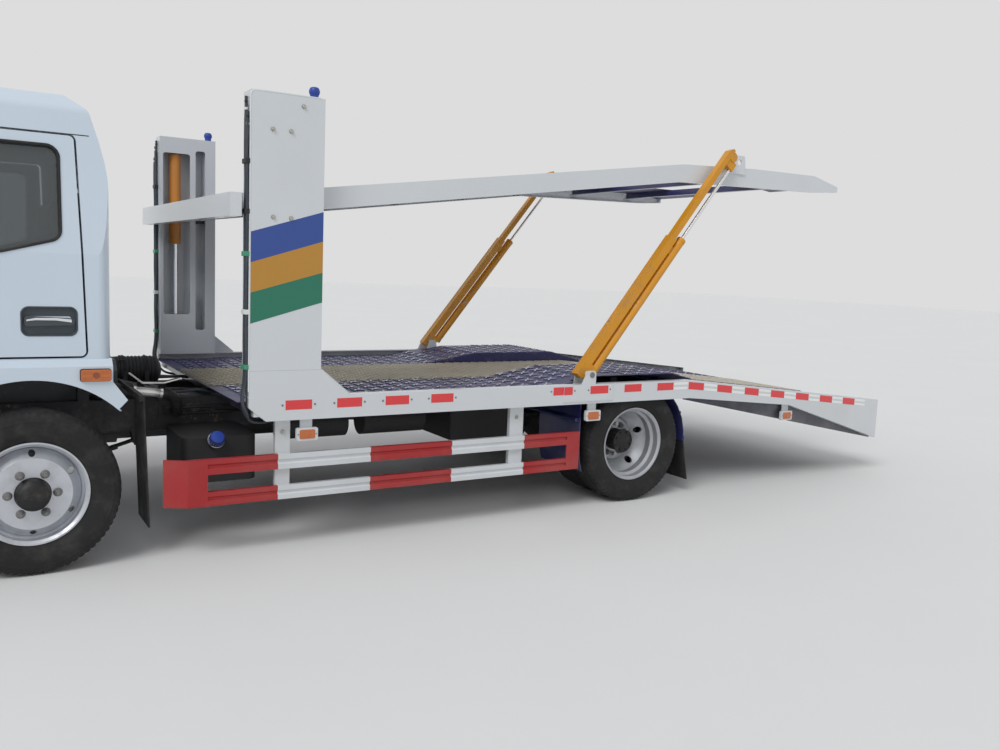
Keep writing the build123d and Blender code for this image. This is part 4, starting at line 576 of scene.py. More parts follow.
def add_rivet(bm, centre, axis, radius, index=0):
    """Domed rivet head."""
    dome = [(0, 0), (0, radius), (radius * 0.35, radius * 0.85), (radius * 0.6, 0)]
    add_lathe(bm, centre, axis, dome, 10, index)


GRIP_PITCH = 0.115
GRIP_FOOT = (0.096, 0.019, -0.004)
GRIP_TOP = (0.088, 0.011, 0.0065)


def add_grip(bm, place):
    """One X-shaped grip pressed up from a wheel track, bright on its worn top."""
    for turn in (42, -42):
        spin = place @ Matrix.Rotation(math.radians(turn), 4, "Z")
        verts = bmesh.ops.create_cube(bm, size=1.0)["verts"]
        raised = {vert for vert in verts if vert.co.z > 0}
        for vert in verts:
            length, width, height = GRIP_TOP if vert in raised else GRIP_FOOT
            vert.co = spin @ Vector((vert.co.x * length, vert.co.y * width, height))
        for face in {face for vert in verts for face in vert.link_faces}:
            face.material_index = int(raised.issuperset(face.verts))


def rounded(points, radius, steps=5):
    """Closed outline in a plane with its corners turned into arcs."""
    run = []
    count = len(points)
    for i in range(count):
        before, corner, after = Vector(points[i - 1]), Vector(points[i]), Vector(points[(i + 1) % count])
        a, b = (before - corner).normalized(), (after - corner).normalized()
        half = a.angle(b) / 2
        reach = min(radius / math.tan(half), (before - corner).length * 0.49, (after - corner).length * 0.49)
        centre = corner + (a + b).normalized() * (reach / math.cos(half))
        start, end = corner + a * reach - centre, corner + b * reach - centre
        for k in range(steps + 1):
            run.append(centre + start.lerp(end, k / steps).normalized() * start.length)
    return run


def flank_panel(sign, y, rear, front, low, high, radius):
    """Rectangle with round corners, in a plane along one side of the truck."""
    return rounded(flank(sign, y, ((rear, low), (front, low), (front, high), (rear, high))), radius)


def skin_of(*names):
    """Surface of some drawn nodes, to set small parts on."""
    verts, faces = [], []
    for name in names:
        mesh = NODES[name].data
        base = len(verts)
        verts += [vert.co.copy() for vert in mesh.vertices]
        faces += [[base + i for i in face.vertices] for face in mesh.polygons]
    return BVHTree.FromPolygons(verts, faces)


def land(skin, start, direction, lift=0.0):
    """Where a line from outside meets the surface, moved out by lift, and the way it faces."""
    place, facing = skin.ray_cast(Vector(start), Vector(direction).normalized())[:2]
    if place is None:
        raise RuntimeError("no surface in front of %s" % (tuple(start),))
    if facing.dot(Vector(direction)) > 0:
        facing = -facing
    return place + facing * lift, facing


def land_ahead(skin, y, z, lift=0.0, seen_from=1):
    """The same for a line along the truck, from the front or, with -1, from the rear."""
    return land(skin, (at(seen_from * FAR), y, z), (-seen_from, 0, 0), lift)


def dense(points, step=0.04):
    """A closed outline with its long sides cut into short steps."""
    run = []
    for a, b in zip(points, [*points[1:], points[0]]):
        count = max(1, int((b - a).length / step))
        run += [a.lerp(b, k / count) for k in range(count)]
    return run


class CarrierLook(bpy.types.PropertyGroup):
    """Colours of the truck's finishes."""

    cab_white: FloatVectorProperty(
        name="Cab", description="Colour of the cab's paint",
        subtype="COLOR", default=(0.61, 0.70, 0.79), min=0, max=1)
    body_white: FloatVectorProperty(
        name="Body", description="Colour of rails, posts and decks",
        subtype="COLOR", default=(0.66, 0.685, 0.705), min=0, max=1)
    deck_blue: FloatVectorProperty(
        name="Deck", description="Colour of the wheel tracks",
        subtype="COLOR", default=(0.026, 0.027, 0.115), min=0, max=1)
    guard_red: FloatVectorProperty(
        name="Guard", description="Colour of the side guards",
        subtype="COLOR", default=(0.38, 0.009, 0.013), min=0, max=1)
    arm_yellow: FloatVectorProperty(
        name="Struts", description="Colour of the telescopic struts",
        subtype="COLOR", default=(0.70, 0.30, 0.009), min=0, max=1)
    stripe_blue: FloatVectorProperty(
        name="Top stripe", description="Colour of the upper stripe",
        subtype="COLOR", default=(0.016, 0.062, 0.30), min=0, max=1)
    stripe_ochre: FloatVectorProperty(
        name="Middle stripe", description="Colour of the middle stripe",
        subtype="COLOR", default=(0.50, 0.235, 0.018), min=0, max=1)
    stripe_green: FloatVectorProperty(
        name="Lower stripe", description="Colour of the lower stripe",
        subtype="COLOR", default=(0.002, 0.165, 0.095), min=0, max=1)


class CarrierSizes(bpy.types.PropertyGroup):
    """Sizes of the small parts."""

    tape_length: FloatProperty(
        name="Tape length", description="Length of one piece of reflective tape",
        default=0.152, min=0.05, max=0.3, unit="LENGTH")
    tape_height: FloatProperty(
        name="Tape height", description="Height of the reflective tape",
        default=0.053, min=0.02, max=0.06, unit="LENGTH")
    tape_pitch: FloatProperty(
        name="Tape pitch", description="Distance from one red piece to the next",
        default=0.3004, min=0.2, max=0.6, unit="LENGTH")
    mesh_pitch: FloatProperty(
        name="Mesh pitch", description="Distance between ribs of the centre strip",
        default=0.05, min=0.03, max=0.1, unit="LENGTH")
    hose_radius: FloatProperty(
        name="Hose radius", description="Radius of a hydraulic hose",
        default=0.0078, min=0.004, max=0.02, unit="LENGTH")
    lens_mm: FloatProperty(
        name="Lens", description="Focal length of the camera in millimetres",
        default=32.05, min=15, max=120)


class CARRIER_OT_stage(bpy.types.Operator):
    """Camera, floor, backdrop and lights"""

    bl_idname = "carrier.stage"
    bl_label = "Stage"

    # Where the camera stands, and how it is turned, in degrees
    STAND = (at(0.334), 5.962, 1.614)
    YAW, PITCH, ROLL = -121.959, 6.799, 2.369
    FLOOR_HALF = 60.0
    SUN_WAY = (-0.75, -0.50, -0.95)

    def execute(self, context):
        scene = context.scene
        self.camera(scene)
        self.floor()
        self.sky(scene)
        self.sun(scene)
        scene.view_settings.view_transform = "Standard"
        return {"FINISHED"}

    def camera(self, scene):
        """Camera at eye height, off the truck's left side."""
        camera = bpy.data.cameras.new("studio_camera")
        camera.lens = scene.carrier_sizes.lens_mm
        camera.sensor_width = 36.0
        holder = bpy.data.objects.new("studio_camera", camera)
        scene.collection.objects.link(holder)
        yaw, pitch, roll = math.radians(self.YAW), math.radians(self.PITCH), math.radians(self.ROLL)
        forward = Vector((math.cos(yaw) * math.cos(pitch), math.sin(yaw) * math.cos(pitch), -math.sin(pitch)))
        level = Vector((math.sin(yaw), -math.cos(yaw), 0.0))
        right = math.cos(roll) * level + math.sin(roll) * level.cross(forward)
        turn = Matrix((right, right.cross(forward), -forward)).transposed()
        holder.matrix_world = Matrix.Translation(Vector(self.STAND)) @ turn.to_4x4()
        scene.camera = holder

    def floor(self):
        """Large pale floor with a faint screed texture."""
        bm = bmesh.new()
        bmesh.ops.create_grid(bm, x_segments=2, y_segments=2, size=self.FLOOR_HALF)
        floor = link_mesh("studio_floor", bm)
        r = Recipe("studio_floor_screed")
        cloud = r.noise(0.6, 5.0, 0.6)
        base = r.mix((0.76, 0.757, 0.745), (0.81, 0.807, 0.795), cloud)
        floor.data.materials.append(r.done(Base_Color=base, Roughness=0.75 + cloud * 0.1))

    def sky(self, scene):
        """Even bluish light, with a plain grey backdrop for what the camera, gloss and glass see."""
        world = bpy.data.worlds.new("studio_world")
        world.use_nodes = True
        tree = world.node_tree
        light = tree.nodes["Background"]
        light.inputs["Color"].default_value = (0.93, 0.96, 1.0, 1.0)
        light.inputs["Strength"].default_value = 0.58
        seen = tree.nodes.new("ShaderNodeBackground")
        seen.inputs["Color"].default_value = (0.72, 0.722, 0.72, 1.0)
        seen.inputs["Strength"].default_value = 1.0
        path = tree.nodes.new("ShaderNodeLightPath")
        either = path.outputs["Is Camera Ray"]
        for ray in ("Is Glossy Ray", "Is Transmission Ray"):
            most = tree.nodes.new("ShaderNodeMath")
            most.operation = "MAXIMUM"
            tree.links.new(either, most.inputs[0])
            tree.links.new(path.outputs[ray], most.inputs[1])
            either = most.outputs[0]
        blend = tree.nodes.new("ShaderNodeMixShader")
        tree.links.new(either, blend.inputs["Fac"])
        tree.links.new(light.outputs[0], blend.inputs[1])
        tree.links.new(seen.outputs[0], blend.inputs[2])
        tree.links.new(blend.outputs[0], tree.nodes["World Output"].inputs["Surface"])
        scene.world = world

    def sun(self, scene):
        """One broad soft key light from the front left."""
        sun = bpy.data.lights.new("key_sun", "SUN")
        sun.angle = math.radians(28)
        sun.energy = 1.4
        holder = bpy.data.objects.new("key_sun", sun)
        scene.collection.objects.link(holder)
        holder.rotation_mode = "QUATERNION"
        holder.rotation_quaternion = Vector(self.SUN_WAY).to_track_quat("-Z", "Y")


class CARRIER_OT_finishes(bpy.types.Operator):
    """Materials of every drawn part of the truck"""

    bl_idname = "carrier.finishes"
    bl_label = "Finishes"

    # Nodes whose finish here is finer than their material slot; the lower frame's inside, the plate under the
    # centre strip and the rear rims carry painted shade
    OTHERS = {"lower_deck_frame": "lower_frame", "upper_deck_frame": "upper_frame",
              "marker_lamps": "lamp_holder", "lower_mesh": "mesh_plate",
              "rim_rear_left": "wheel_dull", "rim_rear_right": "wheel_dull"}

    def execute(self, context):
        make_finishes(context.scene.carrier_look)
        slots = {row["node"]: row["material_slot"] for row in frame["record"]["subparts"]} | self.OTHERS
        for name, node in NODES.items():
            material = PAINTS[slots[name]]
            if node.material_slots:
                for slot in node.material_slots:
                    slot.material = material
            else:
                node.data.materials.append(material)
        return {"FINISHED"}


# End, station and tyre planes of each axle, and the plane that its wheel nuts stand on
WHEEL_SETS = (
    ("front", 0.0, (1.025,), 1.112),
    ("rear", REAR_AXLE, (1.070, 0.795), 0.9445),
)


class CARRIER_OT_tyres(bpy.types.Operator):
    """Tyres with ribbed tread, shoulder blocks and ringed sidewalls"""

    bl_idname = "carrier.tyres"
    bl_label = "Tyres"

    STEPS_ROUND = 216
    SHOULDER_SLOT = 0.006
    SIDE_SLOT = 0.004
    ZIGZAG = (0.0035, -0.0035, 0.0)
    # Half width, radius and kind of each ring from a bead to the middle; s is slotted, z zigzags
    HALF = ((0.0885, 0.2495, ""), (0.089, 0.262, ""), (0.093, 0.268, ""), (0.104, 0.282, ""),
            (0.112, 0.296, ""), (0.1135, 0.299, ""), (0.1145, 0.2985, ""), (0.1195, 0.316, ""),
            (0.1222, 0.334, ""),
            (0.1210, 0.352, ""), (0.1185, 0.366, ""), (0.1190, 0.3675, ""), (0.1180, 0.3690, ""),
            (0.1150, 0.380, ""), (0.1120, 0.392, "s"), (0.1060, 0.402, "s"), (0.0960, 0.4075, "s"),
            (0.0690, 0.4110, "s"), (0.0650, 0.4110, ""), (0.0635, 0.3990, ""), (0.0560, 0.3990, ""),
            (0.0545, 0.4120, "z"), (0.0210, 0.4128, "z"), (0.0195, 0.3995, "z"), (0.0120, 0.3995, "z"),
            (0.0105, 0.4130, "z"))

    def execute(self, context):
        for end, station, planes, _ in WHEEL_SETS:
            for side, sign in SIDES:
                bm = bmesh.new()
                for y in planes:
                    self.tyre(bm, at(station), sign * y)
                name = "tyre_%s_%s" % (end, side)
                body = "wheel_%s_%s" % (end, side)
                piece = finish_mesh(name + "_tread", bm, "tyre_rubber", body, True, slot="tyre_rubber")
                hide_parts(name)
        return {"FINISHED"}

    def tyre(self, bm, x, y):
        """One tyre at an axle station and plane."""
        rings = []
        for offset, radius, kind in [(-y, r, kind) for y, r, kind in self.HALF] + list(self.HALF[::-1]):
            ring = []
            for k in range(self.STEPS_ROUND):
                angle = 2 * math.pi * k / self.STEPS_ROUND
                r, shift = radius, 0.0
                if kind == "s" and k % 3 == 0:
                    r -= self.SHOULDER_SLOT if radius > 0.4 else self.SIDE_SLOT
                if kind == "z":
                    shift = self.ZIGZAG[(k // 2) % 3]
                spot = (x + r * math.cos(angle), y + offset + shift, WHEEL_Z + r * math.sin(angle))
                ring.append(bm.verts.new(spot))
            rings.append(ring)
        for first, second in zip(rings, rings[1:] + rings[:1]):
            join_rings(bm, first, second)


class CARRIER_OT_wheels(bpy.types.Operator):
    """Wheel nuts, hub covers and valves"""

    bl_idname = "carrier.wheels"
    bl_label = "Wheel fittings"

    NUT = ((20, ((0, 0), (0, 0.0225), (0.004, 0.0215), (0.008, 0.017), (0.008, 0))),
           (6, ((0.007, 0), (0.007, 0.0165), (0.026, 0.0165), (0.029, 0.0135), (0.029, 0))),
           (14, ((0.028, 0), (0.028, 0.0095), (0.038, 0.009), (0.040, 0.006), (0.040, 0))))
    NUT_CIRCLE = 0.111
    BOLT_CIRCLE = 0.068
    VALVE_CIRCLE = 0.215
    VALVE_IN = {"front": 0.012, "rear": -0.03}
    # Distance from the truck's middle and radius; domed in front, a flanged half-shaft end at the back
    COVERS = {
        "front": ((1.1125, 0.0), (1.1125, 0.084), (1.117, 0.0835), (1.120, 0.0800), (1.146, 0.0785),
                  (1.160, 0.0755), (1.170, 0.0690), (1.178, 0.0570), (1.184, 0.0400), (1.187, 0.0200),
                  (1.188, 0.0)),
        "rear": ((0.945, 0.0), (0.945, 0.0772), (1.006, 0.0765), (1.032, 0.0738), (1.0375, 0.0738),
                 (1.0375, 0.0850), (1.0536, 0.0850), (1.0618, 0.0508), (1.0642, 0.0440), (1.0650, 0.0)),
    }

    def execute(self, context):
        for side, sign in SIDES:
            out = Vector((0, sign, 0))
            for end, station, _, face in WHEEL_SETS:
                body = "wheel_%s_%s" % (end, side)
                hub = Vector((at(station), 0, WHEEL_Z))
                bm = bmesh.new()
                for spot in self.circle(hub + out * face, self.NUT_CIRCLE, 6, 0):
                    self.nut(bm, spot, out)
                finish_mesh(body + "_nuts", bm, "nut_grey", body, True, slot="chrome_rod")
                self.cover(body, hub, out, end)
                self.valve(body, hub + out * (face - self.VALVE_IN[end]) + ALONG * self.VALVE_CIRCLE, out)
        return {"FINISHED"}

    def circle(self, centre, radius, count, first):
        """Places round a wheel's axis, from an angle in degrees."""
        for k in range(count):
            a = math.radians(first + 360 / count * k)
            yield centre + Vector((radius * math.cos(a), 0, radius * math.sin(a)))

    def nut(self, bm, spot, out):
        """Flanged wheel nut on its stud."""
        for count, profile in self.NUT:
            add_lathe(bm, spot, out, profile, count)

    def cover(self, body, hub, out, end):
        """Black hub cover, with bolts on the half-shaft's flange at the back."""
        bm = bmesh.new()
        add_lathe(bm, hub, out, self.COVERS[end], 48)
        if end == "rear":
            for spot in self.circle(hub + out * 1.0562, self.BOLT_CIRCLE, 8, 22.5):
                add_bolt(bm, spot, out, 0.0075)
        finish_mesh(body + "_hub_cap", bm, "hub_black", body, True, slot="axle_iron")

    def valve(self, body, edge, out):
        """Bent valve with its cap."""
        bm = bmesh.new()
        tip = edge + out * 0.045 + Vector((-0.012, 0, 0))
        add_tube(bm, [edge, edge + out * 0.03, tip], 0.0045, 8)
        cap = edge + out * 0.043 + Vector((-0.011, 0, 0))
        add_lathe(bm, cap, out, [(0, 0), (0, 0.0062), (0.014, 0.0058), (0.016, 0)], 10)
        finish_mesh(body + "_valve", bm, "trim_black", body, True, slot="trim_black")


class CARRIER_OT_side_rails(bpy.types.Operator):
    """Reflective tape, rivets, seams and pin heads on the lower deck's rails"""

    bl_idname = "carrier.side_rails"
    bl_label = "Side rails"

    # The plate that doubles the rail at the strut's foot, and how far it stands out
    PLATE_FRONT, PLATE_REAR, PLATE_OUT = -3.119, -3.54, 0.006
    # Middle of the foremost piece, number of places, and the two that stay empty
    FIRST_TAPE, TAPES, EMPTY = -1.310, 17, (4, 5)
    # Distance under the rail's top ahead of the empty places and behind them
    AHEAD, BEHIND = 0.020, 0.012
    # Place where the pitch shrinks, its share from there, and the first place with white bars
    LAST_EVEN, TAIL_PITCH, FIRST_WHITE = 10, 0.9744, 9
    WHITE_HEIGHT = 0.018
    RIVETED = 8
    FOOT_PIN = ((0, 0), (0, 0.019), (0.005, 0.019), (0.007, 0.016), (0.007, 0.007), (0.006, 0.005),
                (0.006, 0))
    # Front and rear ends and radius of the seams along the post's foot and down its brace
    SEAMS = (((POST_REAR_X, 1.016), (-1.612, 0.868), 0.0028),
             ((POST_FRONT_X, 1.016), (POST_REAR_X, 1.016), 0.0022))
    PLATE_SEAMS = ((-3.118, 0.742, 0.796), (-3.531, 0.742, 0.862))

    def execute(self, context):
        self.sizes = context.scene.carrier_sizes
        each_side("rail_tape_", ["tape_red", "tape_white"], "root", self.tape, False, slot="lamp_red")
        each_side("rail_rivets_", "nut_grey", "root", self.rivets, slot="chrome_rod")
        each_side("strut_foot_pin_", "nut_grey", "root", self.foot_pin, slot="chrome_rod")
        each_side("rail_welds_", "body_white", "root", self.seams, slot="body_white")
        return {"FINISHED"}

    def face_y(self, front, rear):
        """Distance from the middle of the rail's face, or of the plate where a stretch lies on it."""
        on_plate = self.PLATE_REAR < rear and front < self.PLATE_FRONT
        return DECK_SIDE_Y + (self.PLATE_OUT if on_plate else 0.0)

    def patch(self, bm, sign, front, rear, top, height, index):
        """One thin piece of tape that follows the rail's slope."""
        y = self.face_y(front, rear) + 0.0004
        high, low = deck_line(front) - top, deck_line(rear) - top
        points = flank(sign, y, ((front, high), (rear, low), (rear, low - height), (front, high - height)))
        add_prism(bm, points, (0, sign * SKIN, 0), index)

    def places(self):
        """Number, front, rear and distance under the rail's top of each red piece."""
        length, pitch = self.sizes.tape_length, self.sizes.tape_pitch
        for number in range(self.TAPES):
            even = min(number, self.LAST_EVEN)
            middle = self.FIRST_TAPE - pitch * even - self.TAIL_PITCH * pitch * (number - even)
            if number not in self.EMPTY:
                top = self.AHEAD if number < self.EMPTY[0] else self.BEHIND
                yield number, middle + length / 2, middle - length / 2, top

    def tape(self, bm, sign):
        """Red pieces along the rail, with pairs of white bars between them towards the tail."""
        height, gap = self.sizes.tape_height, self.sizes.tape_pitch - self.sizes.tape_length
        seam = self.PLATE_FRONT - 0.0005
        for number, front, rear, top in self.places():
            marks = (front, seam, rear) if rear < seam < front else (front, rear)
            for start, end in zip(marks, marks[1:]):
                self.patch(bm, sign, start, end, top, height, 0)
            if number >= self.FIRST_WHITE:
                for drop in (0.0005, height - self.WHITE_HEIGHT - 0.0005):
                    self.patch(bm, sign, rear - 0.004, rear - gap * 0.93, top + drop, self.WHITE_HEIGHT, 1)

    def rivets(self, bm, sign):
        """Rivets before and behind the foremost red pieces."""
        for number, front, rear, top in self.places():
            for x in (front + 0.017, rear - 0.017) if number < self.RIVETED else ():
                spot = (at(x), sign * self.face_y(x, x), deck_line(x) - top - self.sizes.tape_height / 2)
                add_rivet(bm, spot, (0, sign, 0), 0.0065)

    def foot_pin(self, bm, sign):
        """Pin end on the strut's foot."""
        add_lathe(bm, (at(STRUT_FOOT[0]), sign * 1.238, STRUT_FOOT[1]), (0, sign, 0), self.FOOT_PIN, 28)

    def seams(self, bm, sign):
        """Weld seams on the rail."""
        for x, low, high in self.PLATE_SEAMS:
            points = ((x, low), (x, (low + high) / 2), (x, high))
            add_tube(bm, flank(sign, DECK_SIDE_Y + 0.002, points), 0.0035, 8)
        for front, rear, radius in self.SEAMS:
            add_tube(bm, flank(sign, DECK_SIDE_Y - 0.0002, (front, rear)), radius, 8)


class CARRIER_OT_lower_floor(bpy.types.Operator):
    """Punched wheel tracks and ribbed centre strip of the lower deck"""

    bl_idname = "carrier.lower_floor"
    bl_label = "Lower floor"

    # The centre strip of expanded metal
    STRIP_HALF, STRIP_FRONT, STRIP_REAR = 0.430, -1.02, -6.45
    STRAND, STRAND_LIFT = 0.009, 0.0045
    # Shares of the strand's width, and added height, of the strands that lean one way and the other
    STRANDS = ((1, 1.25, 0.003), (-1, 0.8, 0.0))
    SHORTEST = 0.02
    # The wheel tracks, with their humps over the rear wheels
    TRACK_INNER_Y, TRACK_ROWS, TRACK_FRONT, TRACK_REAR = 0.493, 6, -1.13, -6.40
    HUMP_TOP_Z = 0.905
    # Stations where the hump starts to rise, reaches its top, leaves it and ends
    HUMP = (-2.95, -3.42, -4.18, -4.64)
    # The outermost row has no grips beside the posts and the struts' feet
    CLEAR_Y, POST_END, FOOT_FRONT, FOOT_REAR = 1.03, -1.50, -3.1, -3.70

    def execute(self, context):
        self.centre(context.scene.carrier_sizes.mesh_pitch * 1.6)
        each_side("track_grips_", ["deck_blue", "grip_worn"], "root", self.grips, False, slot="deck_blue")
        return {"FINISHED"}

    def floor_z(self, station):
        """Top of the floor at a station."""
        return deck_line(station) - (DECK_TOP_Z - FLOOR_TOP_Z)

    def centre(self, pitch):
        """Expanded-metal strip: crossing diagonal strands over the centre plate."""
        bm = bmesh.new()
        half = self.STRIP_HALF
        start = self.STRIP_FRONT + 2 * half
        while start > self.STRIP_REAR:
            for lean, share, lift in self.STRANDS:
                run = self.clip(start, -half * lean, start - 2 * half, half * lean)
                for a, b in zip(run, run[1:]):
                    self.strand(bm, a, b, self.STRAND * share, self.STRAND_LIFT + lift)
            start -= pitch
        finish_mesh("centre_mesh", bm, "steel_mesh", "root", slot="steel_mesh")

    def clip(self, x0, y0, x1, y1):
        """Points of a diagonal within the strip, with one more where the floor bends down."""
        marks = [min(x0, self.STRIP_FRONT), max(x1, self.STRIP_REAR)]
        if marks[0] - marks[1] < self.SHORTEST:
            return []
        if marks[1] < KINK_X < marks[0]:
            marks.insert(1, KINK_X)
        return [(x, y0 + (y1 - y0) * (x - x0) / (x1 - x0)) for x in marks]

    def strand(self, bm, a, b, width, lift):
        """Flat strand between two floor points, sunk a little into the plate."""
        sink = 0.001
        start, end = (Vector((at(x), y, self.floor_z(x) - sink)) for x, y in (a, b))
        run = end - start
        across = Vector((-run.y, run.x, 0)).normalized() * width / 2
        top = Vector((0, 0, lift + sink))
        add_prism(bm, [start - across, start + across, start + across + top, start - across + top], run)

    def grips(self, bm, sign):
        """Rows of X-shaped grip bars pressed up from the wheel track."""
        x = self.TRACK_FRONT
        while x > self.TRACK_REAR:
            for row in range(self.TRACK_ROWS):
                y = sign * (self.TRACK_INNER_Y + row * GRIP_PITCH)
                if abs(y) < self.CLEAR_Y or not (self.FOOT_REAR < x < self.FOOT_FRONT or x > self.POST_END):
                    z, slope = self.surface(x)
                    tilt = Matrix.Rotation(math.atan(slope), 4, "Y")
                    add_grip(bm, Matrix.Translation((at(x), y, z)) @ tilt)
            x -= GRIP_PITCH

    def surface(self, x):
        """Height of the track with its hump over the rear wheels, and its slope."""
        rise, top, fall, end = self.HUMP
        stations = (0.0, rise, top, fall, end, TAIL_X)
        floor, hump = FLOOR_TOP_Z, self.HUMP_TOP_Z
        heights = (floor, floor, hump, hump, self.floor_z(end), self.floor_z(TAIL_X))
        for x0, x1, z0, z1 in zip(stations, stations[1:], heights, heights[1:]):
            if x > x1:
                return slide(z0, z1, (x0 - x) / (x0 - x1)), (z1 - z0) / (x0 - x1)
        raise ValueError("no track at station %s" % x)


class CARRIER_OT_posts(bpy.types.Operator):
    """Stripes, bolts, knobs and edge folds of the gate posts"""

    bl_idname = "carrier.posts"
    bl_label = "Gate posts"

    # Paint, then the top at the front and rear edge, then the bottom at the front and rear edge
    STRIPES = (("stripe_blue", 1.755, 1.882, 1.594, 1.722), ("stripe_ochre", 1.594, 1.722, 1.434, 1.552),
               ("stripe_green", 1.434, 1.552, 1.269, 1.388))
    BOLTS = ((-1.148, 2.294), (-1.247, 2.293), (-1.314, 2.430), (-1.154, 1.838), (-1.252, 1.837))
    KNOB = (-1.395, 1.166)
    KNOB_PROFILE = ((0, 0), (0, 0.0250), (0.004, 0.0250), (0.006, 0.0232), (0.020, 0.0226), (0.027, 0.0255),
                    (0.036, 0.0295), (0.047, 0.0295), (0.056, 0.0262), (0.0625, 0.0225), (0.066, 0.0140),
                    (0.0675, 0))
    # Stations and heights of the rolled edge, up the post's front and back over its top
    EDGE = (*((POST_FRONT_X - 0.001, z) for z in (0.90, 1.4, 2.0, 2.455)), (POST_FRONT_X - 0.004, 2.470),
            (POST_FRONT_X - 0.014, 2.4815), (-1.10, 2.4835), (-1.25, 2.4835), (-1.41, 2.4835))

    def execute(self, context):
        paints = [row[0] for row in self.STRIPES]
        each_side("post_stripes_", paints, "root", self.stripes, False, slot="body_white")
        each_side("post_bolts_", "bolt_zinc", "root", self.bolts, slot="chrome_rod")
        each_side("post_knob_", "knob_blue", "root", self.knob, slot="guard_blue")
        each_side("post_edge_", "body_white", "root", self.edge, slot="body_white")
        each_side("post_welds_", "body_white", "root", self.weld, slot="body_white")
        return {"FINISHED"}

    def stripes(self, bm, sign):
        """Three slanting stripes across the post's outer face."""
        front, rear = POST_FRONT_X - 0.004, POST_REAR_X + 0.001
        for index, (_, front_top, rear_top, front_low, rear_low) in enumerate(self.STRIPES):
            corners = ((front, front_top), (rear, rear_top), (rear, rear_low), (front, front_low))
            add_prism(bm, flank(sign, DECK_SIDE_Y + 0.0003, corners), (0, sign * SKIN, 0), index)

    def bolts(self, bm, sign):
        """Bolts on the post's outer face."""
        for spot in flank(sign, DECK_SIDE_Y, self.BOLTS):
            add_bolt(bm, spot, (0, sign, 0), 0.010)

    def knob(self, bm, sign):
        """Blue breather knob on the post's top."""
        x, y = self.KNOB
        add_lathe(bm, (at(x), sign * y, POST_TOP_Z), UP, self.KNOB_PROFILE, 32)

    def edge(self, bm, sign):
        """Rolled edge up the post's front and back over its top."""
        add_tube(bm, flank(sign, 1.2275, self.EDGE), 0.0062, 10)

    def weld(self, bm, sign):
        """Weld across the post's foot."""
        add_tube(bm, placed([(-1.0312, sign * y, 0.868) for y in (1.101, 1.2315)]), 0.003, 8)


class CARRIER_OT_hoses(bpy.types.Operator):
    """Hydraulic hoses with clips and end fittings"""

    bl_idname = "carrier.hoses"
    bl_label = "Hoses"

    HOSES = 4
    FIRST_Y, PITCH_Y = 1.176, 0.0155
    TOP_Z, TOP_STEP = 2.455, 0.04
    # Hexagonal end fitting: height above its foot and radius
    FITTING = ((0, 0), (0, 0.0098), (0.012, 0.0098), (0.014, 0.0082), (0.034, 0.0082), (0.034, 0))
    FITTING_DROP = 0.034
    # Height and paint of each clip
    CLIPS = ((1.638, 0), (1.035, 0), (1.330, 1), (1.86, 2), (2.12, 2))
    CLIP_HALF = 0.013

    def execute(self, context):
        self.radius = context.scene.carrier_sizes.hose_radius
        paints = ["clip_green", "clip_white", "trim_black"]
        each_side("post_hoses_", "hose_blue_grey", "root", self.hoses, slot="flap_rubber")
        each_side("post_hose_clips_", paints, "root", self.clips, False, bevel=0.003, slot="trim_black")
        return {"FINISHED"}

    def hoses(self, bm, sign):
        """Hoses side by side up the post's front."""
        for number in range(self.HOSES):
            add_tube(bm, curve_points(self.run(number, sign), 5), self.radius, 12)

    def clips(self, bm, sign):
        """End fittings of the hoses, and the clips that hold them."""
        for number in range(self.HOSES):
            foot = Vector(self.run(number, sign)[-1]) - UP * self.FITTING_DROP
            add_lathe(bm, foot, UP, self.FITTING, 6, 1 if number % 2 else 2)
        near, far = sorted((sign * 1.163, sign * 1.2335))
        half = self.CLIP_HALF
        for z, index in self.CLIPS:
            add_box(bm, (at(-1.0305), near, z - half), (at(-1.0045), far, z + half), index)

    def run(self, number, sign):
        """Control points of one hose, from under the deck up the post's front, never quite straight."""
        y = self.FIRST_Y + number * self.PITCH_Y
        front = at(-1.0215 + 0.004 * (number % 2))
        top = self.TOP_Z - self.TOP_STEP * number
        rough = random.Random(11 + number)
        foot = ((-1.21, 1.115 - 0.016 * number, 0.716), (-1.13, 1.13 - 0.012 * number, 0.712),
                (-1.066, 1.155 - 0.008 * number, 0.728), (-1.029, y - 0.014, 0.775),
                (-1.010 + 0.003 * number, y - 0.004, 0.850))
        points = [(at(x), sign * out, z) for x, out, z in foot]
        points.append((front + 0.004, sign * y, 0.950))
        z = 1.045
        while z < 2.34:
            ahead, aside = rough.uniform(-0.0005, 0.003), rough.uniform(-0.003, 0.003)
            points.append((front + ahead, sign * (y + aside), z))
            z += 0.16
        return [*points, (front, sign * y, top - 0.06), (front, sign * y, top)]


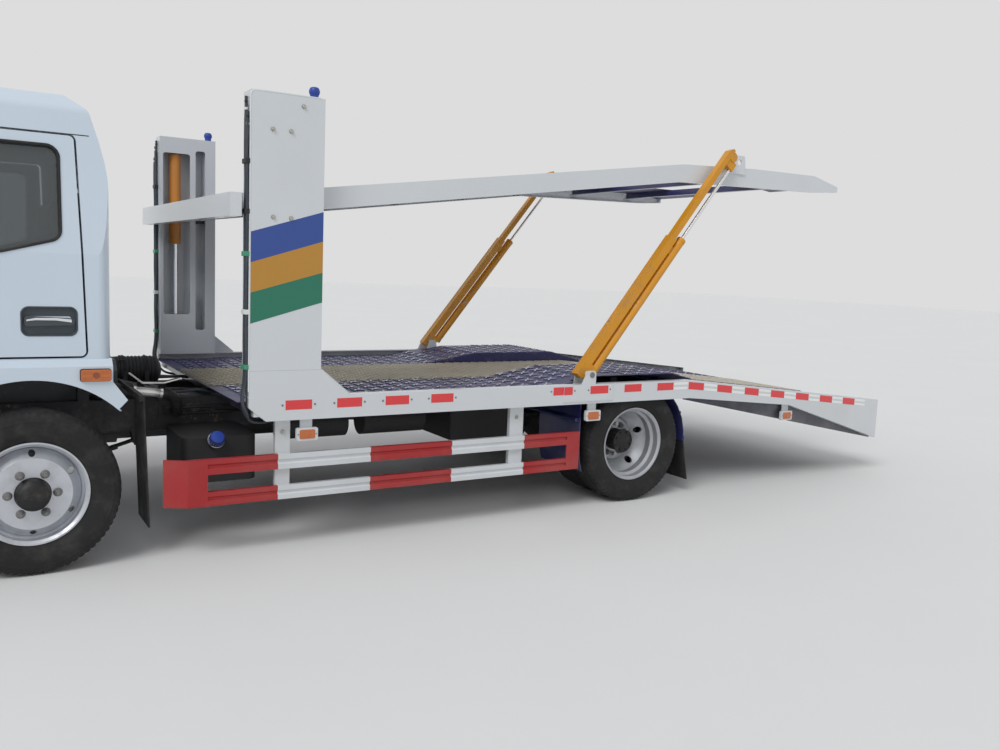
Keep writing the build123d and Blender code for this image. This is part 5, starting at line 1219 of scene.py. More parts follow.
class CARRIER_OT_guards(bpy.types.Operator):
    """White sleeves, end plates and bolts of the red side guards"""

    bl_idname = "carrier.guards"
    bl_label = "Side guards"

    # Front and rear of the white stretches and end plates, and low and high of the two rails
    WHITES = ((-1.207, -1.763), (-2.309, -2.846))
    PLATES = ((-1.197, -1.281), (-2.744, -2.846))
    RAILS = ((0.283, 0.361), (0.455, 0.540))
    BOLTS = ((-1.239, 0.66), (-2.795, 0.66))
    INNER_Y, OUTER_Y, GROOVE = 1.1716, 1.2004, 0.009
    PLATE_INNER_Y, PLATE_OUTER_Y, PLATE_LOW, PLATE_HIGH = 1.1435, 1.1725, 0.2905, 0.7995
    COVER = 0.0004

    def execute(self, context):
        each_side("guard_white_", "guard_white", "root", self.whites, False, slot="body_white")
        each_side("guard_bolts_", "bolt_zinc", "root", self.bolts, slot="chrome_rod")
        return {"FINISHED"}

    def whites(self, bm, sign):
        """White stretches of both rails, and the white end plates."""
        for low, high in self.RAILS:
            for front, rear in self.WHITES:
                self.sleeve(bm, sign, front, rear, low, high)
        near, far = sorted((sign * self.PLATE_INNER_Y, sign * self.PLATE_OUTER_Y))
        for front, rear in self.PLATES:
            add_box(bm, (at(rear) - 0.0006, near, self.PLATE_LOW), (at(front) + 0.0006, far, self.PLATE_HIGH))

    def bolts(self, bm, sign):
        """Bolts with their nuts on the end plates."""
        for spot in flank(sign, self.PLATE_OUTER_Y, self.BOLTS):
            add_bolt(bm, spot, (0, sign, 0), 0.011, nut=True)

    def sleeve(self, bm, sign, front, rear, low, high):
        """White skin over a stretch of a rail, which has a groove along its middle third."""
        outer = [(self.OUTER_Y, low - self.COVER)]
        for ninths, groove in ((3, 0), (4, self.GROOVE), (5, self.GROOVE), (6, 0)):
            outer.append((self.OUTER_Y - groove, slide(low, high, ninths / 9)))
        top = high + self.COVER
        inner = [(self.OUTER_Y, top), (self.INNER_Y, top), (self.INNER_Y, low - self.COVER)]
        add_prism(bm, [(at(front), sign * y, z) for y, z in outer + inner], (rear - front, 0, 0))


class CARRIER_OT_lamps(bpy.types.Operator):
    """Amber lenses and screws of the side markers"""

    bl_idname = "carrier.lamps"
    bl_label = "Side markers"

    # Station and top of each lamp, then sizes from its middle and top
    MARKERS = ((-1.365, 0.734), (-3.385, 0.734), (-5.330, 0.633))
    HOLDER_Y, LENS = 1.2212, 0.0045
    HALF, LOW, HIGH, MIDDLE = 0.045, 0.112, 0.060, 0.086
    EYE = ((0, 0), (0, 0.017), (0.002, 0.0165), (0.003, 0.012), (0.0025, 0))

    def execute(self, context):
        paints = ["lamp_amber", "lamp_amber", "nut_grey"]
        each_side("marker_lens_", paints, "root", self.lenses, False, bevel=0.001, slot="lamp_amber")
        return {"FINISHED"}

    def lenses(self, bm, sign):
        """Lens, eye and two screws of each marker."""
        out = (0, sign, 0)
        for x, top in self.MARKERS:
            low, high, middle = top - self.LOW, top - self.HIGH, top - self.MIDDLE
            face = flank_panel(sign, self.HOLDER_Y, x - self.HALF, x + self.HALF, low, high, 0.008)
            add_prism(bm, face, (0, sign * self.LENS, 0), 0)
            add_lathe(bm, (at(x), sign * (self.HOLDER_Y + self.LENS), middle), out, self.EYE, 28, 1)
            for dx in (-0.053, 0.053):
                add_rivet(bm, (at(x + dx), sign * 1.2219, middle), out, 0.0045, 2)


class CARRIER_OT_struts(bpy.types.Operator):
    """Gland rings, cylinder feet and seams of the telescopic struts"""

    bl_idname = "carrier.struts"
    bl_label = "Struts"

    CYLINDER_DEPTH = 0.042
    # Distance from the foot, profile from there
    GLAND = (1.218, ((0, 0.0318), (0, 0.0336), (0.022, 0.0336), (0.0245, 0.0315), (0.0245, 0.0142)))
    FOOT_RING = (0.055, ((0, 0.0), (0, 0.0334), (0.024, 0.0334), (0.024, 0.0318)))
    SEAM_Y, SEAM_DEPTHS, SEAM_MARKS = 0.0315, (-0.0685, -0.0135), (-0.046, 0.4, 0.8, 1.186)

    def execute(self, context):
        self.along = Vector((STRUT_HEAD[0] - STRUT_FOOT[0], 0, STRUT_HEAD[1] - STRUT_FOOT[1])).normalized()
        each_side("strut_rings_", "arm_yellow", "strut_outer_", self.rings, slot="arm_yellow")
        each_side("strut_seams_", "arm_yellow", "strut_outer_", self.seams, slot="arm_yellow")
        return {"FINISHED"}

    def below(self, sign, depth, aside=0.0):
        """Point under the strut's foot pin, at right angles to the strut."""
        foot = Vector((at(STRUT_FOOT[0]), sign * STRUT_Y + aside, STRUT_FOOT[1]))
        return foot + Vector((-self.along.z, 0, self.along.x)) * depth

    def rings(self, bm, sign):
        """Gland and foot ring of the cylinder."""
        for mark, profile in (self.GLAND, self.FOOT_RING):
            add_lathe(bm, self.below(sign, self.CYLINDER_DEPTH) + self.along * mark, self.along, profile, 32)

    def seams(self, bm, sign):
        """Seams along the sleeve's edges."""
        for aside in (-self.SEAM_Y, self.SEAM_Y):
            for depth in self.SEAM_DEPTHS:
                edge = self.below(sign, depth, aside)
                add_tube(bm, [edge + self.along * mark for mark in self.SEAM_MARKS], 0.0017, 6)


class CARRIER_OT_upper_deck(bpy.types.Operator):
    """Grip crosses of the upper deck's wheel tracks"""

    bl_idname = "carrier.upper_deck"
    bl_label = "Upper deck"

    INNER_Y, ROWS, FRONT, REAR = 0.515, 5, -1.18, -5.55
    REACH = 0.05

    def execute(self, context):
        paints = ["deck_blue", "grip_worn"]
        each_side("upper_grips_", paints, "upper_deck", self.grips, False, slot="deck_blue")
        return {"FINISHED"}

    def grips(self, bm, sign):
        """Rows of X-shaped grips along the upper deck's slope."""
        x = self.FRONT
        while x > self.REAR:
            slope = (upper_line(x - self.REACH) - upper_line(x + self.REACH)) / (2 * self.REACH)
            place = Matrix.Translation((at(x), 0, upper_line(x) - UPPER_DROP))
            place = place @ Matrix.Rotation(math.atan(slope), 4, "Y")
            for row in range(self.ROWS):
                add_grip(bm, place @ Matrix.Translation((0, sign * (self.INNER_Y + row * GRIP_PITCH), 0)))
            x -= GRIP_PITCH


class CARRIER_OT_cab_trim(bpy.types.Operator):
    """Handles, lamps, seals, wipers and mirror glass of the cab"""

    bl_idname = "carrier.cab_trim"
    bl_label = "Cab trim"

    WINDOW = ((-0.150, 1.672), (-0.150, 2.125), (0.470, 2.125), (0.672, 1.640), (0.672, 1.590),
              (0.110, 1.600))
    # Outline of the chrome strip on the door's pull that is placed as its highlight, by station and height
    PULL_HIGHLIGHT_STRIP = ((-0.192, 1.260), (-0.190, 1.276), (-0.12, 1.283), (-0.03, 1.283),
                  (0.010, 1.274), (0.010, 1.266), (-0.03, 1.271), (-0.12, 1.270))
    BOSS = ((0, 0), (0, 0.0165), (0.0035, 0.0160), (0.0050, 0.0125), (0.0035, 0.0070), (0.0035, 0))
    # Name, half width and height of the bottom and of the top, corner radius and its steps
    WINDSCREEN = ("windscreen_seal", 0.905, 1.385, 0.865, 2.115, 0.055, 7)
    REAR_WINDOW = ("rear_window_seal", 0.704, 1.596, 0.704, 2.004, 0.054, 7)
    FRONT_PANEL = ("front_panel_seam", 0.74, 1.150, 0.74, 1.318, 0.030, 5)
    ROOF_SEAM_Z, ROOF_SEAM_STEPS = 2.1875, 120
    # Where the wiper blades start across the cab, how far they reach and how much they rise
    WIPERS, BLADE, BLADE_RISE = (-0.74, 0.04), 0.58, 0.030

    def execute(self, context):
        grip_paints = ["handle_grey", "chrome_rod"]
        lamp_paints = ["trim_black", "lamp_amber", "lamp_amber_deep"]
        each_side("door_handle_recess_", "handle_grey", "door_", self.recess, slot="trim_black")
        each_side("door_handle_grip_", grip_paints, "door_", self.pull, bevel=0.004, segments=3,
                  slot="chrome_rod")
        each_side("cab_repeater_", lamp_paints, "cab", self.repeater, slot="lamp_amber")
        each_side("door_window_seal_", "seal_black", "door_", self.window_seal, slot="trim_black")
        each_side("mirror_plate_", "chrome_rod", "cab", self.mirror_glass, False, bevel=0.0008,
                  slot="chrome_rod")
        shell = skin_of("cab_shell", "cab_roof")
        self.seal(shell, self.WINDSCREEN, 0.0105, 8, 0.001, 1)
        self.seal(shell, self.REAR_WINDOW, 0.009, 8, 0.001, -1)
        self.roof_seam()
        self.seal(shell, self.FRONT_PANEL, 0.0024, 6, 0.0, 1)
        self.wipers()
        return {"FINISHED"}

    def recess(self, bm, sign):
        """Dark cup behind the door's pull, with its rolled lip."""
        cup = flank(sign, 1.0462, ((-0.213, 1.198), (-0.213, 1.332), (0.028, 1.332), (0.028, 1.198)))
        add_prism(bm, rounded(cup, 0.030), (0, sign * 0.0012, 0))
        lip = flank(sign, 1.0602, ((-0.216, 1.195), (-0.216, 1.335), (0.031, 1.335), (0.031, 1.195)))
        add_ring(bm, rounded(lip, 0.032), 0.0042)

    def pull(self, bm, sign):
        """Tapering pull, with a thin chrome strip along its top placed as its highlight."""
        grip = flank(sign, 1.0560, ((-0.205, 1.246), (-0.205, 1.280), (0.018, 1.292), (0.018, 1.240)))
        add_prism(bm, rounded(grip, 0.016), (0, sign * 0.0130, 0), 0)
        # Chrome strip laid where the pull's highlight runs: a placed highlight
        add_prism(bm, flank(sign, 1.0686, self.PULL_HIGHLIGHT_STRIP), (0, sign * 0.0034, 0), 1)

    def repeater(self, bm, sign):
        """Amber side repeater with ribs and a round screw boss, the boss in a darker amber as painted shade.
        """
        holder = flank_panel(sign, 1.1005, -0.366, -0.220, 0.965, 1.030, 0.012)
        add_prism(bm, holder, (0, sign * 0.0060, 0), 0)
        glass = flank_panel(sign, 1.1060, -0.363, -0.223, 0.968, 1.027, 0.011)
        add_prism(bm, glass, (0, sign * 0.0120, 0), 1)
        for z in (0.978, 0.988, 1.007, 1.017):
            for rear, front in ((-0.355, -0.312), (-0.276, -0.231)):
                add_tube(bm, flank(sign, 1.1182, ((rear, z), (front, z))), 0.0022, 6, 1)
        # The boss takes the darker amber: painted shade that sets it off from the lens
        add_lathe(bm, (at(-0.294), sign * 1.1175, 0.9975), (0, sign, 0), self.BOSS, 28, 2)

    def window_seal(self, bm, sign):
        """Rubber channel round the door's window, which leans in above the waist."""
        line = [(at(x), sign * (1.0605 - 0.075 * max(0.0, z - 1.600) / 0.590), z) for x, z in self.WINDOW]
        add_ring(bm, rounded(line, 0.055), 0.0075)

    def seal(self, shell, outline, radius, count, lift, seen_from):
        """Rubber channel or seam that runs over the cab's front or rear face."""
        name, low_half, low, high_half, high, corner, steps = outline
        view = [(0, -low_half, low), (0, low_half, low), (0, high_half, high), (0, -high_half, high)]
        line = dense(rounded(view, corner, steps))
        bm = bmesh.new()
        add_ring(bm, [land_ahead(shell, p.y, p.z, lift, seen_from)[0] for p in line], radius, count)
        finish_mesh(name, bm, "seal_black", "cab", True, slot="trim_black")

    def roof_seam(self):
        """Seam all round under the roof cap."""
        roof = skin_of("cab_roof")
        bm = bmesh.new()
        line = []
        for k in range(self.ROOF_SEAM_STEPS):
            a = 2 * math.pi * k / self.ROOF_SEAM_STEPS
            out = Vector((math.cos(a), math.sin(a), 0))
            line.append(land(roof, Vector((at(0.15), 0, self.ROOF_SEAM_Z)) + out * 3.0, -out)[0])
        add_ring(bm, line, 0.0026, 6)
        finish_mesh("roof_seam", bm, "seal_black", "cab", True, slot="trim_black")

    def mirror_glass(self, bm, sign):
        """Mirror plate in the head's rear face."""
        near, far = sorted((sign * 1.130, sign * 1.290))
        add_box(bm, (at(0.7785), near, 1.555), (at(0.7805), far, 1.855))

    def wipers(self):
        """Two wiper arms with blades that lie on the windscreen."""
        glass = skin_of("cab_glass")
        shell = skin_of("cab_shell")
        bm = bmesh.new()
        for start in self.WIPERS:
            def along(shares, z, lift):
                spots = [(start + self.BLADE * t, z + self.BLADE_RISE * t) for t in shares]
                return [land_ahead(glass, y, level, lift)[0] for y, level in spots]
            foot, facing = land_ahead(shell, start + 0.04, 1.350)
            add_tube(bm, along((0.0, 0.2, 0.4, 0.6, 0.8, 1.0), 1.436, 0.008), 0.0055, 8)
            spine = along((0.12, 0.3, 0.5, 0.7, 0.88), 1.439, 0.018)
            add_tube(bm, spine, 0.004, 8)
            middle = spine[2]
            arm = [foot + facing * 0.014, foot.lerp(middle, 0.45) + facing * 0.026, middle]
            add_tube(bm, curve_points(arm, 5), 0.0065, 8)
            pivot = [(0, 0), (0, 0.021), (0.016, 0.019), (0.021, 0.012), (0.022, 0)]
            add_lathe(bm, foot - facing * 0.004, facing, pivot, 20)
        finish_mesh("wiper_arms", bm, "trim_black", "cab", True, slot="trim_black")


class CARRIER_OT_end_lamps(bpy.types.Operator):
    """Reflectors and fluted glasses of the headlamps, and the lenses of the tail lamps"""

    bl_idname = "carrier.end_lamps"
    bl_label = "Head and tail lamps"

    BEAMS, BEAM_RADIUS, LAMP_Z = (0.768, 0.894), 0.052, 0.570
    INDICATOR_Y, INDICATOR_HALF = 0.992, (0.032, 0.052)
    TAIL_LENSES = ((0.967, 1.012), (1.016, 1.078), (1.082, 1.123))
    TAIL_LOW, TAIL_HIGH = 0.397, 0.493

    def execute(self, context):
        head_paints = ["lamp_glass", "trim_black", "lamp_amber"]
        tail_paints = ["lamp_glass", "lamp_red", "lamp_amber"]
        each_side("headlamp_glass_", head_paints, "root", self.head, slot="lamp_clear")
        each_side("tail_lens_", tail_paints, "root", self.tail, False, slot="lamp_red")
        return {"FINISHED"}

    def head(self, bm, sign):
        """Two round lamps and an indicator, set on the lamp box."""
        lamps = skin_of("headlamps")
        for y in self.BEAMS:
            self.beam(bm, *land_ahead(lamps, sign * y, self.LAMP_Z))
        self.indicator(bm, *land_ahead(lamps, sign * self.INDICATOR_Y, self.LAMP_Z))

    def beam(self, bm, place, facing):
        """Black bezel, bowed glass and upright flutes of one round lamp."""
        radius = self.BEAM_RADIUS
        rim = radius + 0.008
        bezel = [(-0.004, 0), (-0.004, rim), (0.0018, rim), (0.0028, radius + 0.003), (0.0016, radius)]
        add_lathe(bm, place, facing, bezel, 40, 1)
        glass = [(0.0006, radius), (0.0016, radius * 0.7), (0.0022, radius * 0.35), (0.0024, 0)]
        add_lathe(bm, place, facing, glass, 40, 0)
        across = UP.cross(facing).normalized()
        for k in range(-4, 5):
            x = radius * k / 5
            reach = math.sqrt(radius ** 2 - x ** 2) * 0.93
            spot = place + across * x + facing * 0.0014
            add_tube(bm, [spot - UP * reach, spot + UP * reach], 0.0016, 6, 0)

    def indicator(self, bm, place, facing):
        """Amber lens beside the round lamps."""
        width, height = self.INDICATOR_HALF
        across = UP.cross(facing).normalized()
        corners = [place + across * a * width + UP * b * height - facing * 0.001
                   for a, b in ((-1, -1), (1, -1), (1, 1), (-1, 1))]
        add_prism(bm, rounded(corners, 0.010), facing * 0.0034, 2)

    def tail(self, bm, sign):
        """Clear, red and amber lens of a tail lamp."""
        x = at(TAIL_X) + 0.0024
        for index, (low, high) in enumerate(self.TAIL_LENSES):
            corners = [(x, sign * low, self.TAIL_LOW), (x, sign * high, self.TAIL_LOW),
                       (x, sign * high, self.TAIL_HIGH), (x, sign * low, self.TAIL_HIGH)]
            add_prism(bm, rounded(corners, 0.008), (-0.0018, 0, 0), index)


class CARRIER_OT_seats(bpy.types.Operator):
    """Driver's chair and wide passenger bench: padded cushions and backs on their boxes"""

    bl_idname = "carrier.seats"
    bl_label = "Seats"

    # Name, middle and half width, and the seams that run along the seat
    SEATS = (("driver", 0.520, 0.240, (0.0,)), ("bench", -0.380, 0.430, (-0.215, 0.215)))
    # Ends, low and high of the foam, how far its top leans back, and where its cross seams lie
    CUSHION = ((-0.238, 0.248), (1.203, 1.318), 0.0, (at(0.12),))
    BACK = ((-0.268, -0.162), (1.325, 1.918), 0.050, (1.52, 1.74))
    FOAM_IN = 0.012
    VOXEL = 0.014
    SWELL = 0.012
    PRESSURE, SETTLING = 4.0, 20
    SEAM_HALF, SEAM_DEPTH = 0.010, 0.009
    # Station, distance in from the seat's edge, and height
    LEVER = ((-0.222, 0.018, 1.214), (-0.180, 0.008, 1.216), (-0.080, 0.006, 1.223), (0.0, 0.006, 1.236))

    def execute(self, context):
        for name, y, half, seams in self.SEATS:
            self.base(name, y, half)
            low = self.block(self.CUSHION, y, half - self.FOAM_IN)
            cushion = self.puff("seat_cushion_" + name, low, lambda p: p.z < 1.215)
            self.channels(cushion, y, seams, self.CUSHION[3], "x", UP, 1.27)
            tall = self.block(self.BACK, y, half - self.FOAM_IN)
            back = self.puff("seat_back_" + name, tall, lambda p: p.x < at(-0.262))
            self.channels(back, y, seams, self.BACK[3], "z", ALONG, at(-0.235))
            for piece in (cushion, back):
                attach(piece, "cab")
                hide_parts("seats")
        return {"FINISHED"}

    def base(self, name, y, half):
        """Moulded box under a seat, with slide rails and a recliner lever."""
        bm = bmesh.new()
        add_box(bm, (at(-0.230), y - half + 0.040, 1.0755), (at(0.230), y + half - 0.040, 1.187))
        for side in (-1, 1):
            edge = y + side * (half - 0.055)
            add_box(bm, (at(-0.245), edge - 0.012, 1.180), (at(0.245), edge + 0.012, 1.199))
            hinge = y + side * (half - 0.020)
            add_box(bm, (at(-0.255), hinge - 0.006, 1.196), (at(-0.190), hinge + 0.006, 1.420))
        add_tube(bm, placed([(x, y + half - inset, z) for x, inset, z in self.LEVER]), 0.007, 8)
        piece = finish_mesh("seat_base_" + name, bm, "dash_plastic", "cab", bevel=0.006, slot="dash_plastic")
        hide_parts("seats")

    def block(self, pad, y, half):
        """Plain block of foam whose top leans towards the back."""
        (rear, front), (low, high), lean, _ = pad
        bm = bmesh.new()
        for vert in bmesh.ops.create_cube(bm, size=1.0)["verts"]:
            share = vert.co.z + 0.5
            x = slide(rear, front, vert.co.x + 0.5) - (lean if vert.co.x > 0 else 0.010) * share
            vert.co = Vector((at(x), y + vert.co.y * 2 * half, slide(low, high, share)))
        return bm

    def puff(self, name, bm, held):
        """Fills a block of foam out as a sewn cover does, by cloth under a little pressure."""
        piece = link_mesh(name, bm)
        voxels = piece.modifiers.new("voxels", "REMESH")
        voxels.mode = "VOXEL"
        voxels.voxel_size = self.VOXEL
        self.settle(piece)
        self.inflate(piece, held)
        smooth = piece.modifiers.new("smooth", "SUBSURF")
        smooth.levels = smooth.render_levels = 1
        piece.data.materials.clear()
        piece.data.materials.append(PAINTS["seat_cloth"])
        piece.data.shade_smooth()
        return piece

    def inflate(self, piece, held):
        """Runs the cloth with its underside held, and keeps every point's swell within its limit."""
        scene = bpy.context.scene
        start = [vert.co.copy() for vert in piece.data.vertices]
        group = piece.vertex_groups.new(name="held")
        group.add([i for i, co in enumerate(start) if held(co)], 1.0, "REPLACE")
        cover = piece.modifiers.new("cover", "CLOTH")
        cover.settings.use_pressure = True
        cover.settings.uniform_pressure_force = self.PRESSURE
        cover.settings.effector_weights.gravity = 0.0
        cover.settings.vertex_group_mass = "held"
        for step in range(self.SETTLING):
            scene.frame_set(step + 1)
        self.settle(piece)
        scene.frame_set(1)
        for vert, co in zip(piece.data.vertices, start):
            shift = vert.co - co
            if shift.length > self.SWELL:
                vert.co = co + shift.normalized() * self.SWELL

    def settle(self, piece):
        """Keeps the shape that the modifiers give, and drops them."""
        graph = bpy.context.evaluated_depsgraph_get()
        graph.update()
        mesh = bpy.data.meshes.new_from_object(piece.evaluated_get(graph))
        piece.modifiers.clear()
        piece.data = mesh

    def channels(self, piece, y, seams, rows, axis, face, level):
        """Sewn channels pressed into the face of a pad, along it and, at rows of one axis, across it."""
        for vert in piece.data.vertices:
            if vert.co.dot(face) < level:
                continue
            gaps = [vert.co.y - y - seam for seam in seams] + [getattr(vert.co, axis) - row for row in rows]
            nearest = min(abs(gap) for gap in gaps)
            vert.co -= face * self.SEAM_DEPTH * math.exp(-(nearest / self.SEAM_HALF) ** 2)


class CARRIER_OT_engine_bay(bpy.types.Operator):
    """Air pipe, filter, bracket and hoses between the cab and the deck"""

    bl_idname = "carrier.engine_bay"
    bl_label = "Engine bay"

    # Control points of the pipe and the hoses, by station
    PIPE = ((-0.560, 0.505, 0.826), (-0.620, 0.50, 0.818), (-0.690, 0.50, 0.809), (-0.735, 0.495, 0.800))
    PIPE_FRONT = ((-0.575, 0.504, 0.824), (-0.50, 0.49, 0.835), (-0.44, 0.44, 0.825), (-0.40, 0.37, 0.780),
                  (-0.36, 0.30, 0.730))
    PIPE_REAR = ((-0.720, 0.497, 0.803), (-0.775, 0.487, 0.790), (-0.815, 0.470, 0.750),
                 (-0.825, 0.448, 0.700), (-0.825, 0.425, 0.665))
    FILTER_HOSE = ((-0.505, -0.06, 0.880), (-0.455, -0.05, 0.882), (-0.420, 0.02, 0.865),
                   (-0.40, 0.09, 0.820), (-0.39, 0.12, 0.750))
    CLAMPS = ((-0.572, 0.504, 0.824), (-0.722, 0.497, 0.803))
    BAND = ((-0.008, 0.028), (-0.008, 0.0345), (0.008, 0.0345), (0.008, 0.028))
    # Middle of the filter across and up, its radius and that of its bands
    FILTER_Y, FILTER_Z, FILTER_RADIUS, BAND_RADIUS = -0.06, 0.880, 0.084, 0.091
    FILTER_RIBS, RIB_PITCH = 9, 0.022
    CRADLES, RAIL_TOP_Z = (-0.73, -0.60), 0.7605
    # Stations and heights of the bracket's top, and of its two legs
    BRACKET = ((-0.546, 0.932), (-0.621, 0.870), (-0.743, 0.866), (-0.835, 0.889))
    LEGS = ((-0.625, 0.868), (-0.745, 0.864))
    # Distance across, height and radius of the lines along the frame rails
    LINES = ((0.352, 0.792, 0.012), (0.378, 0.786, 0.009), (0.330, 0.783, 0.008), (-0.350, 0.790, 0.011),
             (-0.376, 0.784, 0.008))

    def execute(self, context):
        self.air_pipe()
        self.air_filter()
        self.cradle()
        self.ribbed_hoses("air_filter_hose", (self.FILTER_HOSE,), 10, (0.041, 0.0415, 0.037), 24)
        self.bracket()
        self.hoses()
        return {"FINISHED"}

    def ribbed_hoses(self, name, runs, steps, radii, count):
        """Ribbed hoses along runs of control points."""
        bm = bmesh.new()
        for run in runs:
            add_tube(bm, curve_points(placed(run), steps), radii, count)
        finish_mesh(name, bm, "hose_ribbed", "root", True, slot="flap_rubber")

    def air_pipe(self):
        """Bright pipe held in ribbed hoses by band clamps."""
        bm = bmesh.new()
        add_tube(bm, curve_points(placed(self.PIPE), 5), 0.029, 24)
        for x, y, z in placed(self.CLAMPS):
            add_lathe(bm, (x, y, z), (-1, 0, -0.14), self.BAND, 28, closed=True)
            add_box(bm, (x - 0.006, y + 0.028, z + 0.020), (x + 0.006, y + 0.044, z + 0.032))
        finish_mesh("air_pipe", bm, "pipe_aluminium", "root", True, slot="chrome_rod")
        self.ribbed_hoses("air_pipe_hoses", (self.PIPE_FRONT, self.PIPE_REAR), 9, (0.032, 0.0325, 0.0295), 22)

    def air_filter(self):
        """Round filter housing with ribs and latches."""
        bm = bmesh.new()
        middle = Vector((at(-0.66), self.FILTER_Y, self.FILTER_Z))
        wall, rib = self.FILTER_RADIUS, self.FILTER_RADIUS + 0.004
        profile = [(-0.165, 0), (-0.165, 0.042), (-0.158, 0.052), (-0.150, 0.072), (-0.140, wall)]
        for k in range(self.FILTER_RIBS):
            base = -0.135 + k * self.RIB_PITCH
            profile += [(base, wall), (base + 0.003, rib), (base + 0.012, rib), (base + 0.015, wall)]
        profile += [(0.066, wall), (0.068, 0.093), (0.082, 0.093), (0.084, 0.087), (0.135, 0.083),
                    (0.150, 0.072), (0.158, 0.050), (0.160, 0.0)]
        add_lathe(bm, middle, ALONG, profile, 44)
        latch = Vector((0.020, 0.008, 0.008))
        for k in range(4):
            a = math.radians(45 + 90 * k)
            spot = middle + Vector((0.075, math.cos(a) * self.BAND_RADIUS, math.sin(a) * self.BAND_RADIUS))
            add_box(bm, spot - latch, spot + latch)
        finish_mesh("air_filter", bm, "tank_black", "root", True, bevel=0.0015, slot="tank_black")

    def cradle(self):
        """Two cross bars on the frame rails, with legs and a band round the filter."""
        bm = bmesh.new()
        radius, level = self.BAND_RADIUS, self.RAIL_TOP_Z
        for x in self.CRADLES:
            add_box(bm, (at(x) - 0.018, -0.395, level), (at(x) + 0.018, 0.395, level + 0.008))
            turns = [(math.cos(math.radians(a)) * radius, math.sin(math.radians(a)) * radius)
                     for a in range(0, 360, 15)]
            band = [(x, self.FILTER_Y + dy, self.FILTER_Z + dz) for dy, dz in turns]
            add_ring(bm, placed(band), 0.0040)
            for y in (self.FILTER_Y - radius, self.FILTER_Y + radius):
                low = (at(x) - 0.012, y - 0.003, level + 0.0045)
                add_box(bm, low, (at(x) + 0.012, y + 0.003, self.FILTER_Z))
        finish_mesh("air_filter_cradle", bm, "frame_black", "root", slot="frame_black")

    def bracket(self):
        """Bright-edged bracket over the air pipe, on legs from the frame rail."""
        bm = bmesh.new()
        thick = 0.006
        for (x0, z0), (x1, z1) in zip(self.BRACKET, self.BRACKET[1:]):
            plate = flank(1, 0.440, ((x0, z0), (x1, z1), (x1, z1 - thick), (x0, z0 - thick)))
            add_prism(bm, plate, (0, 0.062, 0))
            edge = flank(1, 0.502, ((x0, z0 - thick / 2), (x1, z1 - thick / 2)))
            add_tube(bm, edge, 0.0055, 8, 1)
        for x, z in self.LEGS:
            add_box(bm, (at(x) - 0.020, 0.4105, 0.640), (at(x) + 0.020, 0.4165, z))
            add_box(bm, (at(x) - 0.020, 0.4105, z - thick), (at(x) + 0.020, 0.4450, z))
            for level in (0.665, 0.715):
                add_bolt(bm, (at(x), 0.4165, level), (0, 1, 0), 0.008)
        paints = ["frame_black", "pipe_aluminium"]
        finish_mesh("pipe_bracket", bm, paints, "root", True, slot="frame_black")

    def hoses(self):
        """Air and coolant lines along the frame rails, never quite straight."""
        bm = bmesh.new()
        for number, (y, z, radius) in enumerate(self.LINES):
            rough = random.Random(31 + number)
            run = [(-0.30, y * 0.8, z - 0.04)]
            for step in range(6):
                aside, above = rough.uniform(-0.006, 0.006), rough.uniform(-0.002, 0.014)
                run.append((-0.42 - 0.11 * step, y + aside, z + above))
            run += [(-1.05, y, z - 0.004), (-1.16, y * 0.93, 0.752), (-1.26, y * 0.86, 0.715)]
            add_tube(bm, curve_points(placed(run), 5), radius, 10, number % 2)
        finish_mesh("frame_hoses", bm, ["hose_ribbed", "hose_blue_grey"], "root", True, slot="flap_rubber")


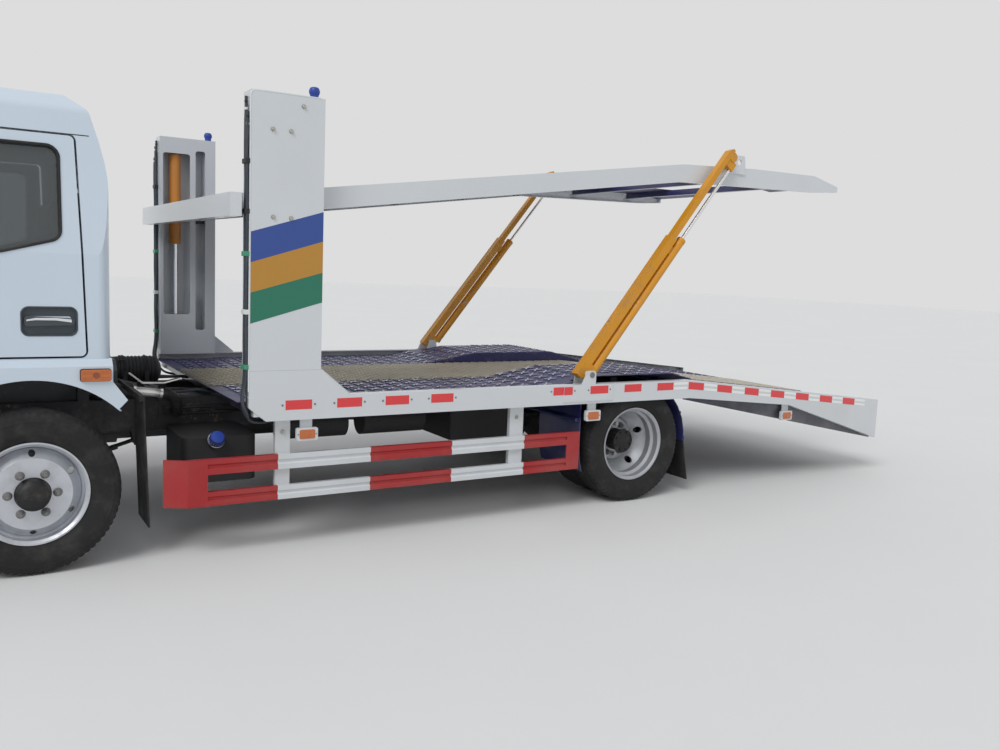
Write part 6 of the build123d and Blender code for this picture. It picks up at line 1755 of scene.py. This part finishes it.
class CARRIER_OT_underside(bpy.types.Operator):
    """Tank cap, pipes, spring bolts and rivets under the deck"""

    bl_idname = "carrier.underside"
    bl_label = "Underside"

    # The fluid tank's slanting neck, and the profiles and places of its cap and ring along it
    NECK, NECK_WAY = (at(-0.935), 0.895, 0.560), (0, 0.8, 0.6)
    CAP_TOP = ((0, 0.0), (0, 0.0385), (0.004, 0.0385), (0.009, 0.036), (0.011, 0.02), (0.012, 0.0))
    CAP_RING = ((0, 0.0345), (0, 0.0490), (0.003, 0.0495), (0.006, 0.0480), (0.006, 0.0345))
    KNURLS, KNURL_CIRCLE = 20, 0.0405
    PIPE_Y, PIPE_HEIGHTS, PIPE_MARKS = 0.43, (0.70, 0.665), (-0.75, -1.5, -2.3, -3.0)
    # Axle, its station, top and bottom of its springs' bolts, and half the distance between them
    SPRINGS = (("front", 0.0, 0.438, 0.284, 0.046), ("rear", REAR_AXLE, 0.556, 0.318, 0.078))
    SPRING_Y, BOLT_HALF = 0.375, 0.037
    SPRING_NUT = ((0, 0), (0, 0.0145), (0.012, 0.0145), (0.014, 0.011), (0.014, 0))
    RIVET_PAIRS, RIVET_PITCH, RIVET_HEIGHTS = 22, 0.26, (0.600, 0.730)

    def execute(self, context):
        self.fluid_cap()
        bm = bmesh.new()
        for z in self.PIPE_HEIGHTS:
            run = placed([(x, self.PIPE_Y, z) for x in self.PIPE_MARKS])
            add_tube(bm, curve_points(run, 4), 0.008, 8)
        finish_mesh("frame_air_pipes", bm, "hose_black", "root", True, slot="flap_rubber")
        self.spring_bolts()
        self.frame_rivets()
        return {"FINISHED"}

    def fluid_cap(self):
        """Blue cap with knurls, and the bright ring under it."""
        bm = bmesh.new()
        base, out = Vector(self.NECK), Vector(self.NECK_WAY)
        add_lathe(bm, base + out * 0.082, out, self.CAP_TOP, 36)
        side = out.orthogonal().normalized()
        other = out.cross(side)
        for k in range(self.KNURLS):
            a = 2 * math.pi * k / self.KNURLS
            spot = base + out * 0.055 + (side * math.cos(a) + other * math.sin(a)) * self.KNURL_CIRCLE
            add_tube(bm, [spot, spot + out * 0.026], 0.0028, 6)
        finish_mesh("fluid_cap_knurl", bm, "knob_blue", "root", True, slot="guard_blue")
        bm = bmesh.new()
        add_lathe(bm, base + out * 0.046, out, self.CAP_RING, 36)
        finish_mesh("fluid_cap_ring", bm, "chrome_rod", "root", True, slot="chrome_rod")

    def spring_bolts(self):
        """U-bolts over the leaf springs, with their nuts and plates under the axles."""
        for name, station, top, low, half in self.SPRINGS:
            bm = bmesh.new()
            leg = self.BOLT_HALF
            rise = ((leg, low - 0.028), (leg, low + 0.04), (leg, top - 0.014), (0.026, top - 0.002))
            bow = [(-y, z) for y, z in rise] + list(rise[::-1])
            for y in (self.SPRING_Y, -self.SPRING_Y):
                for x in (at(station) - half, at(station) + half):
                    add_tube(bm, [(x, y + dy, z) for dy, z in bow], 0.0075, 10)
                    for dy in (-self.BOLT_HALF, self.BOLT_HALF):
                        add_lathe(bm, (x, y + dy, low - 0.001), -UP, self.SPRING_NUT, 6)
                corner = Vector((at(station), y, low))
                reach = Vector((half + 0.018, 0.052, 0))
                add_box(bm, corner - reach, corner + reach + UP * 0.010)
            finish_mesh("spring_bolts_" + name, bm, "axle_iron", "root", True, slot="axle_iron")

    def frame_rivets(self):
        """Rivets in pairs along the webs of the frame rails."""
        rails = skin_of("chassis_frame")
        bm = bmesh.new()
        for sign in (1, -1):
            for step in range(self.RIVET_PAIRS):
                for z in self.RIVET_HEIGHTS:
                    start = Vector((at(-0.45 - self.RIVET_PITCH * step), sign * 0.46, z))
                    place = rails.ray_cast(start, Vector((0, -sign, 0)), 0.08)[0]
                    if place is not None:
                        add_rivet(bm, place, (0, sign, 0), 0.009)
        finish_mesh("frame_rivets", bm, "axle_iron", "root", True, slot="frame_black")


class CARRIER_PT_panel(bpy.types.Panel):
    """Carrier truck tools"""

    bl_label = "Carrier truck"
    bl_space_type = "VIEW_3D"
    bl_region_type = "UI"
    bl_category = "Carrier"

    def draw(self, context):
        for group in (context.scene.carrier_look, context.scene.carrier_sizes):
            box = self.layout.box()
            for key in group.__annotations__:
                box.prop(group, key)
        for operator in STEPS:
            self.layout.operator(operator.bl_idname)


STEPS = (CARRIER_OT_stage, CARRIER_OT_finishes, CARRIER_OT_tyres, CARRIER_OT_wheels,
         CARRIER_OT_side_rails, CARRIER_OT_lower_floor, CARRIER_OT_posts, CARRIER_OT_hoses,
         CARRIER_OT_guards, CARRIER_OT_lamps, CARRIER_OT_struts, CARRIER_OT_upper_deck,
         CARRIER_OT_cab_trim, CARRIER_OT_end_lamps, CARRIER_OT_seats, CARRIER_OT_engine_bay,
         CARRIER_OT_underside)
CLASSES = (CarrierLook, CarrierSizes, *STEPS, CARRIER_PT_panel)


def register():
    for cls in CLASSES:
        bpy.utils.register_class(cls)
    bpy.types.Scene.carrier_look = PointerProperty(type=CarrierLook)
    bpy.types.Scene.carrier_sizes = PointerProperty(type=CarrierSizes)


def unregister():
    del bpy.types.Scene.carrier_sizes
    del bpy.types.Scene.carrier_look
    for cls in reversed(CLASSES):
        bpy.utils.unregister_class(cls)


def main():
    """Runs every step in order."""
    register()
    for step in STEPS:
        group, name = step.bl_idname.split(".")
        getattr(getattr(bpy.ops, group), name)()


if __name__ == "__main__":
    main()
